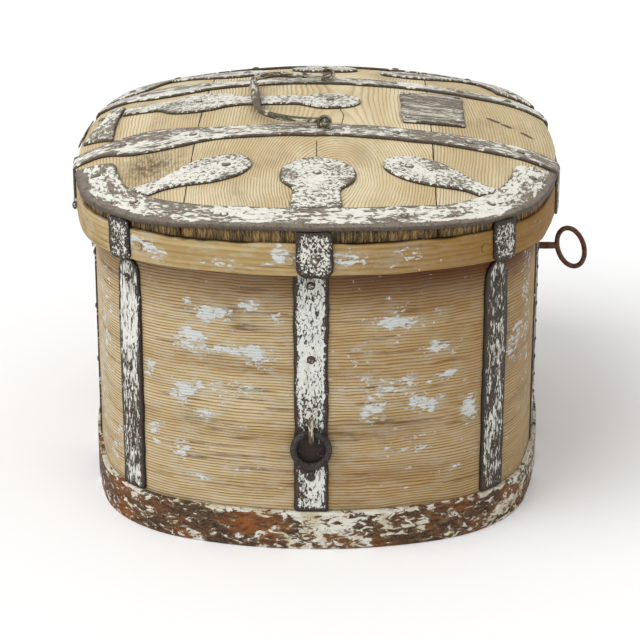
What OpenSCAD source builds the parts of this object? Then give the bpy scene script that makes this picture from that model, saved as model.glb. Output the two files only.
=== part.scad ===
/* [Chest body] */
// Width of the chest over its bowed long sides
body_width = 359; // [340:1:400]
// Length of the chest over its bowed ends
body_length = 479; // [440:1:560]
// Height of the bent wooden wall
body_height = 243; // [215:1:280]
// Radius of the bow of each end
end_radius = 261; // [230:1:320]
// Radius of the bow of each long side
side_radius = 620; // [480:1:900]
// Radius of the four rounded corners
corner_radius = 110; // [90:1:125]
// Thickness of the bent pine wall
wall_thickness = 8; // [6:0.5:10]
// Thickness of the bottom boards
base_thickness = 14; // [10:1:20]
// Gap between the bottom and the wall round it
base_gap = 0.1; // [0.05:0.05:0.5]
// Length of the slanted lap where the ends of the bent wall meet
lap_length = 60; // [30:5:90]
// Gap in that lap
lap_gap = 0.3; // [0.1:0.1:0.5]

/* [Lid] */
// How far the lid's hoop stands out past the long sides
side_overhang = 13.5; // [12:0.5:16]
// How far the lid's hoop stands out past the ends
end_overhang = 17.4; // [13:0.2:22]
// Thickness of the bent hoop
hoop_thickness = 6; // [4:0.5:7]
// Height of the bent hoop
hoop_height = 24.6; // [18:0.2:32]
// Height of the lid boards' edge above the hoop
board_edge = 9.7; // [7:0.1:12]
// How far the lid boards stop inside the hoop's outer face
board_inset = 2; // [1:0.5:3]
// Rise of the lid's crown above the edge at its ends
crown_rise = 31; // [26:1:36]
// Radius of the broad arch across the lid
crown_bow = 740; // [620:10:900]
// Radius of the rounder shoulder on each side of it
shoulder_radius = 112; // [90:5:140]
// Thickness of the hollowed lid boards
board_thickness = 15; // [12:1:18]
// Width of the lid's flat rim inside the wall, round the hollow
rim_margin = 2; // [1:0.5:4]
// Places of the two joints between the three lid boards
board_joints = [-93, 90];
// Open gap in those joints
joint_gap = 0.6; // [0.2:0.1:1]
// Gap under the closed lid, over the top of the wall
lid_gap = 0.3; // [0.2:0.1:1]

/* [Iron] */
// Width of the smith's strap stock
strap_width = 25; // [20:0.5:28]
// Width of the narrower corner straps
corner_strap_width = 24.5; // [16:0.5:26]
// Thickness of the strap stock
strap_thickness = 2.2; // [1.6:0.1:3]
// Thickness of the thin straps on the long sides
side_strap_thickness = 1.2; // [0.8:0.1:2]
// Seat of an iron on the wood
seat_gap = 0.05; // [0.02:0.01:0.1]
// Height of the iron band round the foot
foot_band_height = 30; // [24:1:40]
// Thickness of that band
foot_band_thickness = 3.4; // [1.2:0.1:4]
// How far the band stays clear of the floor
foot_band_lift = 0.5; // [0.2:0.1:2]
// Gap between the ends of straps that butt
butt_gap = 0.4; // [0.2:0.1:1]
// How far the end straps stop below the top of the wall, and the side straps below the hoop
strap_stop = [4, 5]; // [2:0.5:8]
// Direction of the corner straps, from the long axis
corner_strap_angle = 46.5; // [44:0.5:52]
// Place along the lid of the two cross straps, on the centre line
cross_strap_y = [-83.5, 81];
// Slant of the two cross straps
cross_strap_slant = [-1.2, -2];
// Width of the flat iron band round each end of the lid
end_band_width = 29; // [22:1:34]
// Distance of an end band's cut ends from the middle of the lid, at the outer edge
end_band_reach = 106; // [102:1:120]
// Slant of those cuts
end_band_cut = 21; // [0:1:40]
// Sideways shift of the irons on the lid's centre line
centre_shift = 3; // [0:0.5:5]
// Radius of the round lobe on each end band
disc_radius = 28.5; // [22:0.5:32]
// Distance from the disc's centre to the lid's end
disc_inset = 84; // [78:1:92]
// Half width of the disc's neck at its foot, and how far it spreads before it meets the band
disc_neck = [15.5, 4]; // [12:0.5:20]
// Half length and half width of the leaf lobes
leaf_size = [33, 21.5];
// Distance of a leaf's centre from the centre line and from the end
leaf_place = [81, 99.5];
// Slant of the leaves
leaf_slant = 25; // [18:1:36]
// How much narrower a leaf is towards its stalk, as a share
leaf_point = 0.18; // [0:0.02:0.3]
// Width of the stalk that ties a leaf to the end band
stalk_width = 18; // [12:1:22]
// Half length and half width of the leaf swelling on the cross straps
swell_size = [42, 24];
// Distance of that swelling from the centre line
swell_place = 122; // [110:1:130]
// Corners of the skewed plate nailed over the joint on the lock side
patch_corners = [[67, -54], [117, -45], [119, 55], [67, 41]];
// Where the back edge plate begins and ends
edge_plate_ends = [-55, 48];
// Gap between the back edge plate and the middle strap
edge_plate_gap = 3; // [1:0.5:5]
// Round-ended swellings of the middle strap: centre and half sizes
middle_lobes = [[-97, 14, 31, 30], [10, -2, 24, 23]];
// Half width of the middle strap at each lobe, and the edges of its root beside the edge plate
middle_width = [11, 9]; // [8:0.5:13]
middle_root = [15, 38];
// Size of the patch plate's ring of nails, as a share of the plate
patch_nails = 0.8; // [0.7:0.05:0.9]
// Widths of the end clips that hold the hoop to the boards, middle and corner
clip_widths = [27, 22];
// How far a clip stops above the hoop's lower edge
clip_drop = -1; // [-4:0.5:6]
// Direction of the corner clips, from the long axis
corner_clip_angle = 43.5; // [40:0.5:50]

/* [Hinges] */
// Radius of the hinge knuckles
knuckle_radius = 4.2; // [4:0.1:5]
// Radius of the hinge pins
pin_radius = 2; // [1.6:0.1:2.4]
// Running clearance round a hinge pin
pin_clearance = 0.08; // [0.04:0.01:0.1]
// Gap between the knuckles along the pin
knuckle_gap = 0.4; // [0.3:0.1:0.8]
// Distance of the hinge axis inside the hoop's outer face at mid-length
hinge_inset = 7.2; // [6.5:0.1:8]
// Height of the hinge axis above the hoop's lower edge
hinge_lift = 3.8; // [3:0.1:5]
// Play round the knuckles in the notches of the hoop
notch_play = 1; // [0.6:0.1:1.5]
// Height of the leaning part of a hinge leaf
leaf_lean = 30; // [15:1:40]
// Width of the middle knuckle
middle_knuckle = 9; // [7:0.5:11]

/* [Handle] */
// Half distance between the arms of the bail
bail_half = 77; // [74:1:79]
// Reach of the bail from its axis to the middle of its grip
bail_reach = 57.5; // [50:0.5:62]
// Radii of the near and the far bend of the bail
bail_bends = [44, 26];
// Slant of the grip, as the handle has been pulled out of square
bail_skew = 5; // [0:0.5:8]
// Radius of the bail's wire
bail_wire = 2.5; // [2:0.1:3]
// Radius of its swollen grip
grip_radius = 3.9; // [3:0.1:4.2]
// Radius of the knobs that keep the bail in its eyes
knob_radius = 3.7; // [3.4:0.1:3.9]
// Sideways place of the eyes
eye_place = 7; // [4:0.5:9]
// Radius of the arched eyes, to the middle of their wire
eye_radius = 4.4; // [4.3:0.1:5]
// Radius of the wire of the eyes
eye_wire = 1.5; // [1.2:0.1:1.6]
// Height of the middle of an eye above its strap
eye_lift = 4.6; // [4.4:0.1:5.5]
// Depth to which the legs of an eye go through strap and board
eye_shank = 12; // [8:1:14]
// Rise of the bail from its axis to its grip, as it lies on the middle strap
bail_slope = 1.3; // [1.2:0.1:2]
// How much thicker the ends of the forged grip are than the bends they are welded to
grip_step = 0.15; // [0.1:0.05:0.4]
// How far the grip laps over the bends
grip_weld = 1.5; // [1:0.5:3]
// Length over which the grip swells at either end
grip_taper = 16; // [10:1:20]
// Play of the bail where it hangs in its eyes
bail_play = 0.2; // [0.1:0.05:0.4]

/* [Ring pull] */
// Outer radius of the ring
ring_radius = 16; // [13:0.5:20]
// Radius of the ring's wire
ring_wire = 3; // [2:0.1:3.5]
// Height of the ring's centre above the floor
ring_height = 81.4; // [60:1:120]
// Radius of the staple's wire
staple_wire = 1.9; // [1.5:0.1:2.2]
// Play of the ring in its staple
ring_play = 0.4; // [0.3:0.1:0.8]
// How much taller the staple is above the ring than under it
staple_rise = 3; // [0:0.5:6]

/* [Lock and key] */
// Height of the keyhole above the floor
key_height = 163; // [150:1:175]
// Radius of the key's shank
key_radius = 2.9; // [2:0.1:3.5]
// Length of the bare shank outside the wall
key_out = 16; // [10:1:25]
// Half width and half height of the bow, over its wire
bow_size = [13.5, 18.7];
// Radius of the bow's wire
bow_wire = 2.1; // [1.5:0.1:3]
// Lean of the bow, and how far its middle hangs below the shank, as the key is bent
bow_bend = [8, 1.5]; // [0:0.5:12]
// Reach of the bit from the key's axis
bit_reach = 16; // [13:0.5:17]
// Width of the bit along the shank
bit_width = 9; // [6:0.5:10]
// Thickness of the bit
bit_thickness = 3; // [2:0.1:3.4]
// Clearance of the keyhole round the key
keyhole_gap = 0.4; // [0.3:0.1:0.5]
// Inside of the lock case: depth, length along the wall and height
case_inside = [18, 76, 92];
// Thickness of the lock case
case_wall = 2; // [1.5:0.1:2.5]
// Play between moving pieces of the lock
lock_play = 0.4; // [0.3:0.1:0.8]
// Gap between the lock case and the bowed wall
case_gap = 0.3; // [0.2:0.1:1]
// Room under the key's bit in the case
bit_room = 6; // [4:1:10]
// How far the bolt sticks out past the keyhole's middle when it is drawn back
bolt_nose = 8; // [5:1:10]
// Thickness of the guides under and over the bolt
guide_thickness = 3; // [2:0.5:4]
// How far the key's bit reaches up into the bolt's talon
talon_depth = 3; // [2:0.5:4]
// Play of the bit in the talon
talon_play = 1.5; // [1:0.5:2]
// Sideways size of the bolt: thickness, length and height
bolt_size = [5, 43, 14];
// Travel of the bolt for half a turn of the key
bolt_travel = 16; // [12:0.5:18]
// Thickness of the iron of the lid's catch
catch_thickness = 4; // [3:0.5:5]
// Width of the rim of the catch round its window
catch_rim = 3; // [2.5:0.5:4]
// Play of the bolt in that window, across and up and down
catch_play = [2.6, 3]; // [1:0.1:4]
// Room round the catch in the slot of the lock case: before it, behind it and beside it
slot_room = [1, 4, 3]; // [1:0.5:5]
// Distance from the shot bolt's tip at rest to the catch
catch_step = 4; // [3:0.5:6]
// Length of the plate by which the catch is nailed under its board
catch_plate = 44; // [30:1:60]

/* [Nails] */
// Radius and height of the nail heads on the straps
nail_size = [3.4, 1.4];
// Radius and height of the small nail heads on the side straps
small_nail = [2.2, 1];
// Distance between the nails of the front straps
nail_pitch = 15; // [12:1:30]
// Heights of the nails of the end straps; the second is missing at the near end
end_nails = [57.7, 104, 150.7, 207.2];
// Heights of the nails of the corner straps
corner_nails = [66.8, 127.6, 198];
// Radius of the wooden pegs in the hoop, and how far they stand out
peg_radius = 3.2; // [2:0.1:4]
peg_height = 1; // [0.5:0.1:1.5]
// Turn of the four corner pegs from the middle of the rounded corners
corner_peg_turn = 13; // [5:1:20]
// Turn of the fifth peg from the middle of the near end
near_peg_turn = -3.1; // [-20:0.1:20]
// Nails of the end bands, from the centre line and from the band's middle
band_nails = [[-62, 66], 9];
// Nails of the end bands' arms, from the centre line and from the lid's end
arm_nails = [[130, 60], [164, 121]];
// How far a leaf's nail lies from its centre, towards the middle of the lid and away from it
leaf_nail = [13, 5];
// Nails of the cross straps, from the centre line
cross_nails = [-150, -95, 62, 118, 158];
// Nails of the back edge plate, along the lid
edge_plate_nails = [-38, 24];

/* [Hidden] */
$fn = 96;

wood = [0.80, 0.66, 0.45];
pale_wood = [0.86, 0.74, 0.54];
iron = [0.36, 0.34, 0.32];
painted_iron = [0.83, 0.82, 0.77];
rust = [0.45, 0.27, 0.16];

// An oval plan is a bowed end arc, a side arc and a corner arc that touch without a kink.
// Its values: y of the end arc's centre, x of the side arc's centre, the three radii,
// the corner arc's centre, and the two angles at which the arcs meet.
function oval(w, l, re, rs, rc) =
    let (ay = l - re, bx = w - rs, ra = re - rc, rb = rs - rc, d = norm([bx, ay]),
         a = (ra * ra - rb * rb + d * d) / (2 * d), h = sqrt(ra * ra - a * a),
         e = [bx / d, -ay / d],
         p = [a * e[0] + h * e[1], ay + a * e[1] - h * e[0]],
         q = [a * e[0] - h * e[1], ay + a * e[1] + h * e[0]],
         c = p[1] > q[1] ? p : q)
    [ay, bx, re, rs, rc, c[0], c[1], atan2(c[1] - ay, c[0]), atan2(c[1], c[0] - bx)];

body = oval(body_width / 2, body_length / 2, end_radius, side_radius, corner_radius);
corner_overhang = (side_overhang + end_overhang) / 2;
lid = oval(body_width / 2 + side_overhang, body_length / 2 + end_overhang,
    end_radius + end_overhang, side_radius + side_overhang, corner_radius + corner_overhang);
lid_half = [body_width / 2 + side_overhang, body_length / 2 + end_overhang];

// Points of an oval, d outside it, about a chord apart
chord = 12;
function arc(x, y, r, a0, a1) =
    let (n = ceil(r * (a1 - a0) * PI / 180 / chord))
    [for (i = [0 : n - 1]) let (a = a0 + (a1 - a0) * i / n) [x + r * cos(a), y + r * sin(a)]];
function quarter(o, d) = concat(
    arc(o[1], 0, o[3] + d, 0, o[8]), arc(o[5], o[6], o[4] + d, o[8], o[7]),
    arc(0, o[0], o[2] + d, o[7], 90));
function turned(points, sx, sy) = [for (p = points) [sx * p[0], sy * p[1]]];
function reversed(points) = [for (i = [len(points) - 1 : -1 : 0]) points[i]];
function outline(o, d) =
    let (q = quarter(o, d), top = [[0, o[0] + o[2] + d]], last = [for (i = [1 : len(q) - 1]) q[i]])
    concat(q, top, reversed(turned(last, -1, 1)), turned(q, -1, -1),
        turned(top, 1, -1), reversed(turned(last, 1, -1)));

// Half width of an oval at a place along it, on its side arc
function half_width(o, y) = o[1] + sqrt(o[3] * o[3] - y * y);

module plan(o, d) { polygon(outline(o, d)); }
module ring_wall(o, d0, d1, z0, z1) {
    translate([0, 0, z0]) linear_extrude(z1 - z0) difference() { plan(o, d1); plan(o, d0); }
}
module block(o, d, z0, z1) { translate([0, 0, z0]) linear_extrude(z1 - z0) plan(o, d); }

// A strap bent round a vertical arc
module bent_strap(x, y, radius, angle, width, z0, z1, thickness) {
    half = asin(width / 2 / radius);
    translate([x, y, z0]) rotate([0, 0, angle - half])
        rotate_extrude(angle = 2 * half)
            translate([radius + seat_gap, 0]) square([thickness, z1 - z0]);
}

// Places what is drawn along +Z so that it points out of a vertical arc
module out_of(x, y, radius, angle, z) {
    translate([x + radius * cos(angle), y + radius * sin(angle), z])
        rotate([0, 0, angle]) rotate([0, 90, 0]) children();
}

// Heights of the lid
hoop_top = body_height + lid_gap;
hoop_foot = hoop_top - hoop_height;
edge_height = hoop_top + board_edge;
crown = edge_height + crown_rise;

// The lid's pillow top: a broad arch with rounder shoulders, carried along a second arc.
// Arch and shoulder touch on a line through both centres, which leans as the long side of a
// right triangle with whole sides does. Their centres lie a whole number of hundredths of that
// side apart, so the arcs meet without a step.
dome_y = (pow(lid_half[1], 2) + pow(crown_rise, 2)) / (2 * crown_rise);
lean = [76, 357];
hundredths = round(100 * (crown_bow - shoulder_radius) / norm(lean));
shoulder = crown_bow - hundredths * norm(lean) / 100;
shoulder_place = crown_bow * lean[0] / norm(lean);
shoulder_x = hundredths * lean[0] / 100;
shoulder_z = hundredths * lean[1] / 100 - crown_bow;
function arch(x) = abs(x) <= shoulder_place
    ? sqrt(pow(crown_bow, 2) - x * x) - crown_bow
    : shoulder_z + sqrt(pow(shoulder, 2) - pow(abs(x) - shoulder_x, 2));
function arch_slope(x) = abs(x) <= shoulder_place
    ? asin(x / crown_bow) : sign(x) * asin((abs(x) - shoulder_x) / shoulder);
function dome_height(x, y) = crown - dome_y + sqrt(pow(dome_y + arch(x), 2) - y * y);
dome_reach = 1.5 * asin(lid_half[1] / dome_y);
module dome_turn() {
    translate([0, 0, crown - dome_y]) rotate([0, -90, 0]) rotate([0, 0, -dome_reach])
        rotate_extrude(angle = 2 * dome_reach, $fn = 360) children();
}
module dome_window() {
    depth = 2 * crown_rise + board_thickness;
    translate([dome_y - depth, -1.2 * lid_half[0]]) square([depth + 20, 2.4 * lid_half[0]]);
}
module arch_wedge() {
    far = ceil((crown_bow + 2 * crown_rise) / norm(lean));
    polygon([[-crown_bow, 0],
        for (m = [-1, 1]) [far * lean[1] - crown_bow, m * far * lean[0]]]);
}
module arch_outline(d) {
    translate([dome_y, 0]) {
        intersection() {
            translate([-crown_bow, 0]) circle(crown_bow + d, $fn = 360);
            arch_wedge();
        }
        for (m = [-1, 1]) difference() {
            translate([shoulder_z, m * shoulder_x]) circle(shoulder + d, $fn = 360);
            arch_wedge();
        }
    }
}
module dome_solid(d) {
    dome_turn() intersection() {
        arch_outline(d);
        dome_window();
    }
}
module dome_skin(d0, d1) {
    dome_turn() intersection() {
        difference() { arch_outline(d1); arch_outline(d0); }
        dome_window();
    }
}

// Cuts a lid iron of the given outline out of a skin over the boards
module lid_plate(level = 0) {
    low = seat_gap + level * (strap_thickness + seat_gap);
    intersection() {
        dome_skin(low, low + strap_thickness);
        translate([0, 0, hoop_top]) linear_extrude(2 * crown_rise + board_edge) children();
    }
}

// Places what is drawn along +Z square to the lid's top, d above it
module on_dome(x, y, d) {
    translate([x, y, dome_height(x, y)])
        rotate([-asin(y / (dome_y + arch(x))), 0, 0]) rotate([0, arch_slope(x), 0])
            translate([0, 0, d]) children();
}

// Chest body

module base_board() {
    color(wood) block(body, -wall_thickness - base_gap, 0, base_thickness);
}

front_x = body_width / 2 - wall_thickness;
module keyhole(x0, x1) {
    translate([x0, 0, key_height]) rotate([0, 90, 0])
        cylinder(h = x1 - x0, r = key_radius + keyhole_gap);
    slot = bit_thickness + 2 * keyhole_gap;
    translate([x0, -slot / 2, key_height - bit_reach - keyhole_gap])
        cube([x1 - x0, slot, bit_reach + keyhole_gap]);
}

module body_wall() {
    color(wood) difference() {
        ring_wall(body, -wall_thickness, 0, 0, body_height);
        keyhole(front_x - 1, body_width / 2 + 1);
        // The slanted lap at the back, between the hinges
        lap_angle = atan2(wall_thickness, lap_length);
        translate([-body_width / 2 + wall_thickness / 2, 0, -1])
            rotate([0, 0, 90 - lap_angle])
                translate([-lap_length, -lap_gap / 2, 0])
                    cube([2 * lap_length, lap_gap, body_height + 2]);
    }
}

module foot_band() {
    color(rust) difference() {
        ring_wall(body, seat_gap, seat_gap + foot_band_thickness, foot_band_lift,
            foot_band_height);
        translate([-body_width / 2 - 5, lap_length, -1])
            cube([10, butt_gap, foot_band_height + 2]);
    }
}

strap_foot = foot_band_height + butt_gap;
end_strap_top = body_height - strap_stop[0];
side_strap_top = hoop_foot - strap_stop[1];

module end_strap() {
    color(painted_iron)
        bent_strap(0, body[0], body[2], 90, strap_width, strap_foot, end_strap_top, strap_thickness);
}
module end_strap_far() { end_strap(); }
module end_strap_near() { mirror([0, 1, 0]) end_strap(); }

// A corner strap with its rounded top
module corner_strap() {
    angle = 90 - corner_strap_angle;
    r = corner_strap_width / 2;
    intersection() {
        bent_strap(body[5], body[6], body[4], angle, corner_strap_width,
            strap_foot, side_strap_top + 1, strap_thickness);
        out_of(body[5], body[6], body[4] - 5, angle, 0)
            linear_extrude(12) union() {
                translate([-side_strap_top + r, 0]) circle(r);
                translate([-side_strap_top + r, -r - 1])
                    square([side_strap_top, 2 * r + 2]);
            }
    }
}
module corner_straps_far() {
    color(painted_iron) for (m = [0, 1]) mirror([m, 0, 0]) corner_strap();
}
module corner_straps_near() { mirror([0, 1, 0]) corner_straps_far(); }

// Straps on the long sides, at a place along the chest
function side_angle(y) = asin(y / body[3]);
module side_strap(y, z1) {
    bent_strap(body[1], 0, body[3], side_angle(y), strap_width, strap_foot, z1,
        side_strap_thickness);
}
// Place of a cross strap where it meets the front (1) or the back (-1)
function strap_y(k, side) = cross_strap_y[k] + side * lid_half[0] * tan(cross_strap_slant[k]);
module front_strap_near() { color(iron) side_strap(strap_y(0, 1), side_strap_top); }
module front_strap_far() { color(iron) side_strap(strap_y(1, 1), side_strap_top); }

// Hinges, whose knuckles lie in notches of the hoop
hinge_x = -lid_half[0] + hinge_inset;
hinge_z = hoop_foot + hinge_lift;
module along_y(y0, y1, r) {
    translate([hinge_x, y0, hinge_z]) rotate([-90, 0, 0]) cylinder(h = y1 - y0, r = r);
}
module pin_bore(y) {
    along_y(y - strap_width, y + strap_width, pin_radius + pin_clearance);
}
module hinge_notch(k) {
    half = strap_width / 2 + notch_play;
    translate([-lid_half[0] - 1, strap_y(k, -1) - half, hoop_foot - 1])
        cube([2 * hoop_thickness + side_overhang, 2 * half,
            hinge_lift + knuckle_radius + notch_play + 1]);
}
module hinge_leaf(k) {
    y = strap_y(k, -1);
    wall_x = -half_width(body, y);
    bend_z = hinge_z - leaf_lean;
    color(iron) difference() {
        union() {
            mirror([1, 0, 0]) side_strap(y, bend_z);
            for (s = [-1, 1])
                along_y(y + (s > 0 ? middle_knuckle / 2 : -strap_width / 2),
                    y + (s > 0 ? strap_width / 2 : -middle_knuckle / 2), knuckle_radius);
            // The leaning part, from the wall out to the knuckles
            difference() {
                translate([0, y + strap_width / 2, 0]) rotate([90, 0, 0])
                    linear_extrude(strap_width) polygon([
                        [wall_x + 2, bend_z - 4],
                        [wall_x - side_strap_thickness, bend_z - 4],
                        [wall_x - side_strap_thickness - 0.5, bend_z + 1],
                        [hinge_x - 1, hinge_z - knuckle_radius + 0.5],
                        [hinge_x + 2, hinge_z - knuckle_radius / 2],
                        [wall_x + 2, bend_z + 4]]);
                block(body, seat_gap, 0, body_height);
                along_y(y - middle_knuckle / 2 - knuckle_gap, y + middle_knuckle / 2 + knuckle_gap,
                    knuckle_radius + 3 * knuckle_gap);
            }
        }
        pin_bore(y);
    }
}
module hinge_leaf_near() { hinge_leaf(0); }
module hinge_leaf_far() { hinge_leaf(1); }
module hinge_pins() {
    color(rust) for (k = [0, 1])
        along_y(strap_y(k, -1) - strap_width / 2 - notch_play / 2,
            strap_y(k, -1) + strap_width / 2 + notch_play / 2, pin_radius);
}

// Ring pull on the near end
ring_y = -body_length / 2 - seat_gap - strap_thickness - ring_play - ring_wire;
ring_core = ring_radius - ring_wire;
ring_axis_z = ring_height + ring_core;
module pull_ring() {
    color(iron) translate([0, ring_y, ring_height]) rotate([90, 0, 0])
        rotate_extrude() translate([ring_core, 0]) circle(ring_wire, $fn = 48);
}
staple_half = ring_wire + ring_play + staple_wire;
staple_top = staple_half + staple_rise;
module rod(from, to, r) {
    d = to - from;
    h = norm(d);
    translate(from) rotate([0, acos(d[2] / h), atan2(d[1], d[0])]) cylinder(h = h, r = r);
}
module ring_staple() {
    back = -body_length / 2 - seat_gap - strap_thickness;
    bend = staple_wire + 0.4;
    front = ring_y - staple_half;
    color(rust) union() {
        for (z = [ring_axis_z - staple_half, ring_axis_z + staple_top]) {
            rod([0, back, z], [0, front + bend, z], staple_wire);
            s = z < ring_axis_z ? 1 : -1;
            translate([0, front + bend, z + s * bend]) rotate([0, -90, 0])
                rotate([0, 0, s > 0 ? 180 : -90]) rotate_extrude(angle = 90)
                    translate([bend, 0]) circle(staple_wire, $fn = 48);
        }
        rod([0, front, ring_axis_z - staple_half + bend],
            [0, front, ring_axis_z + staple_top - bend], staple_wire);
    }
}

// Lock on the inside of the front wall
case_back = half_width(body, case_inside[1] / 2 + case_wall) - wall_thickness - case_gap;
case_front = case_back - 2 * case_wall - case_inside[0];
case_foot = key_height - bit_reach - bit_room;
case_top = case_foot + case_inside[2] + case_wall;
case_mid = case_back - case_wall - case_inside[0] / 2;
bolt_foot = key_height + bit_reach - talon_depth;
bolt_start = bolt_nose - bolt_size[1];
catch_y = bolt_nose + lock_play + catch_step;
catch_inner = [bolt_size[0] + catch_play[0], bolt_size[2] + catch_play[1]];
catch_outer = catch_inner[0] + 2 * catch_rim;
bolt_level = bolt_foot + bolt_size[2] / 2;
catch_foot = bolt_level - catch_inner[1] / 2 - catch_rim;

module lock_case() {
    half = case_inside[1] / 2 + case_wall;
    inner = case_inside[1] / 2;
    color(iron) difference() {
        union() {
            difference() {
                translate([case_front + case_wall, -half, case_foot - case_wall])
                    cube([case_inside[0] + case_wall, 2 * half, case_top - case_foot + case_wall]);
                translate([case_front + case_wall - 1, -inner, case_foot])
                    cube([case_inside[0] + 1, 2 * inner, case_inside[2]]);
                // The lid's catch drops in through this slot
                translate([case_mid - catch_outer / 2 - slot_room[0], catch_y - slot_room[2],
                    case_top - case_wall - 1])
                    cube([catch_outer + slot_room[0] + slot_room[1],
                        catch_thickness + 2 * slot_room[2], case_wall + 2]);
            }
            // Guides under and over the bolt
            for (z = [bolt_foot - lock_play - guide_thickness,
                bolt_foot + bolt_size[2] + lock_play])
                translate([case_back - case_inside[0], -inner, z])
                    cube([case_inside[0] - case_wall, inner - bit_reach + 1, guide_thickness]);
        }
        keyhole(case_back - case_wall - 1, case_back + 1);
    }
}
module lock_cover() {
    half = case_inside[1] / 2 + case_wall;
    color(iron) translate([case_front + case_wall - seat_gap - case_wall, -half,
        case_foot - case_wall])
        cube([case_wall, 2 * half, case_top - case_foot + case_wall]);
}
module lock_bolt() {
    color(iron) difference() {
        translate([case_mid - bolt_size[0] / 2, bolt_start, bolt_foot])
            cube([bolt_size[0], bolt_size[1], bolt_size[2]]);
        // The talon in which the key's bit works
        translate([case_mid - bolt_size[0], -bolt_travel - talon_play - bit_reach / 2,
            bolt_foot - 1])
            cube([2 * bolt_size[0], bit_reach / 2 + 4, 1 + talon_depth + talon_play]);
    }
}
key_tip = case_mid - bit_width / 2 - 1;
key_end = body_width / 2 + key_out;
module key() {
    color(rust) union() {
        translate([key_tip, 0, key_height]) rotate([0, 90, 0])
            cylinder(h = key_end - key_tip + bow_wire, r = key_radius);
        translate([case_mid - bit_width / 2, -bit_thickness / 2, key_height - bit_reach])
            cube([bit_width, bit_thickness, bit_reach]);
        translate([key_end + bow_size[0], 0, key_height - bow_bend[1]]) rotate([90, 0, 0])
            rotate([0, 0, -bow_bend[0]]) bow_ring();
    }
}
// The bow: round wire bent to two half rings joined by straight sides
module bow_ring() {
    r = bow_size[0] - bow_wire;
    half = bow_size[1] - bow_size[0];
    for (m = [0, 1]) {
        mirror([0, m, 0]) translate([0, half, 0])
            rotate_extrude(angle = 180) translate([r, 0]) circle(bow_wire, $fn = 48);
        mirror([m, 0, 0]) translate([r, half, 0]) rotate([90, 0, 0])
            cylinder(h = 2 * half, r = bow_wire, $fn = 48);
    }
}

// Lid

module lid_hoop() {
    color(wood) difference() {
        ring_wall(lid, -hoop_thickness, 0, hoop_foot, hoop_top);
        for (k = [0, 1]) hinge_notch(k);
    }
}

module lid_board(x0, x1) {
    color(pale_wood) difference() {
        intersection() {
            block(lid, -board_inset, hoop_top, crown + 1);
            dome_solid(0);
            translate([x0, -lid_half[1] - 1, hoop_top - 1])
                cube([x1 - x0, 2 * lid_half[1] + 2, crown]);
        }
        intersection() {
            block(body, -wall_thickness - rim_margin, hoop_top - 1, crown);
            dome_solid(-board_thickness);
        }
        for (k = [0, 1]) eye_hole(k);
    }
}
module lid_board_back() { lid_board(-lid_half[0] - 1, board_joints[0] - joint_gap / 2); }
module lid_board_centre() {
    lid_board(board_joints[0] + joint_gap / 2, board_joints[1] - joint_gap / 2);
}
module lid_board_front() { lid_board(board_joints[1] + joint_gap / 2, lid_half[0] + 1); }

module hoop_pegs() {
    peg_z = (hoop_foot + hoop_top) / 2;
    color(wood) {
        for (m = [0, 1], n = [0, 1]) mirror([m, 0, 0]) mirror([0, n, 0])
            out_of(lid[5], lid[6], lid[4] + seat_gap, (lid[7] + lid[8]) / 2 + corner_peg_turn,
                peg_z) cylinder(h = peg_height, r = peg_radius, $fn = 24);
        out_of(0, -lid[0], lid[2] + seat_gap, near_peg_turn - 90, peg_z)
            cylinder(h = peg_height, r = peg_radius, $fn = 24);
    }
}

// A flat band round one end of the lid, its arms cut off short of the cross strap
module end_band(s) {
    tip = lid_half[0] + 9;
    outer = end_band_reach - (tip - lid_half[0] + end_band_width / 3) * tan(end_band_cut);
    inner = outer + tip * tan(end_band_cut);
    color(painted_iron) lid_plate() intersection() {
        difference() { plan(lid, 1); plan(lid, 1 - end_band_width); }
        scale_y(s) polygon([[-tip, outer], [0, inner], [tip, outer],
            [tip, 2 * lid_half[1]], [-tip, 2 * lid_half[1]]]);
    }
}
module scale_y(s) { mirror([0, s < 0 ? 1 : 0]) children(); }
module end_band_near() { end_band(-1); }
module end_band_far() { end_band(1); }

// Keeps an iron out of the end band
module outside_band() { difference() { children(); plan_ring(); } }
module plan_ring() {
    difference() { plan(lid, 40); plan(lid, 1 - end_band_width - butt_gap); }
}
module disc(s) {
    y = lid_half[1] - disc_inset;
    color(painted_iron) lid_plate() outside_band() scale_y(s) translate([centre_shift, 0])
        union() {
            translate([0, y]) circle(disc_radius);
            translate([0, y]) polygon([for (c = [[-1, 0], [1, 0], [1, 1], [-1, 1]])
                [c[0] * (disc_neck[0] + c[1] * disc_neck[1]),
                    c[1] > 0 ? disc_inset : disc_radius * 2 / 3]]);
        }
}
module disc_near() { disc(-1); }
module disc_far() { disc(1); }

// A leaf: a pointed oval by formula
function leaf_points(a, b) = [for (t = [0 : 15 : 345])
    [a * cos(t), b * sin(t) * (1 - leaf_point * cos(t))]];
module leaf(s, side) {
    y = lid_half[1] - leaf_place[1];
    lid_plate() outside_band() scale_y(s) translate([centre_shift + side * leaf_place[0], y])
        rotate([0, 0, side > 0 ? leaf_slant : 180 - leaf_slant]) union() {
            polygon(leaf_points(leaf_size[0], leaf_size[1]));
            translate([leaf_size[0] / 2, -stalk_width / 2])
                square([leaf_size[0] + end_band_width, stalk_width]);
        }
}
module leaves_near() { color(painted_iron) for (side = [-1, 1]) leaf(-1, side); }
module leaves_far() { color(painted_iron) for (side = [-1, 1]) leaf(1, side); }

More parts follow.
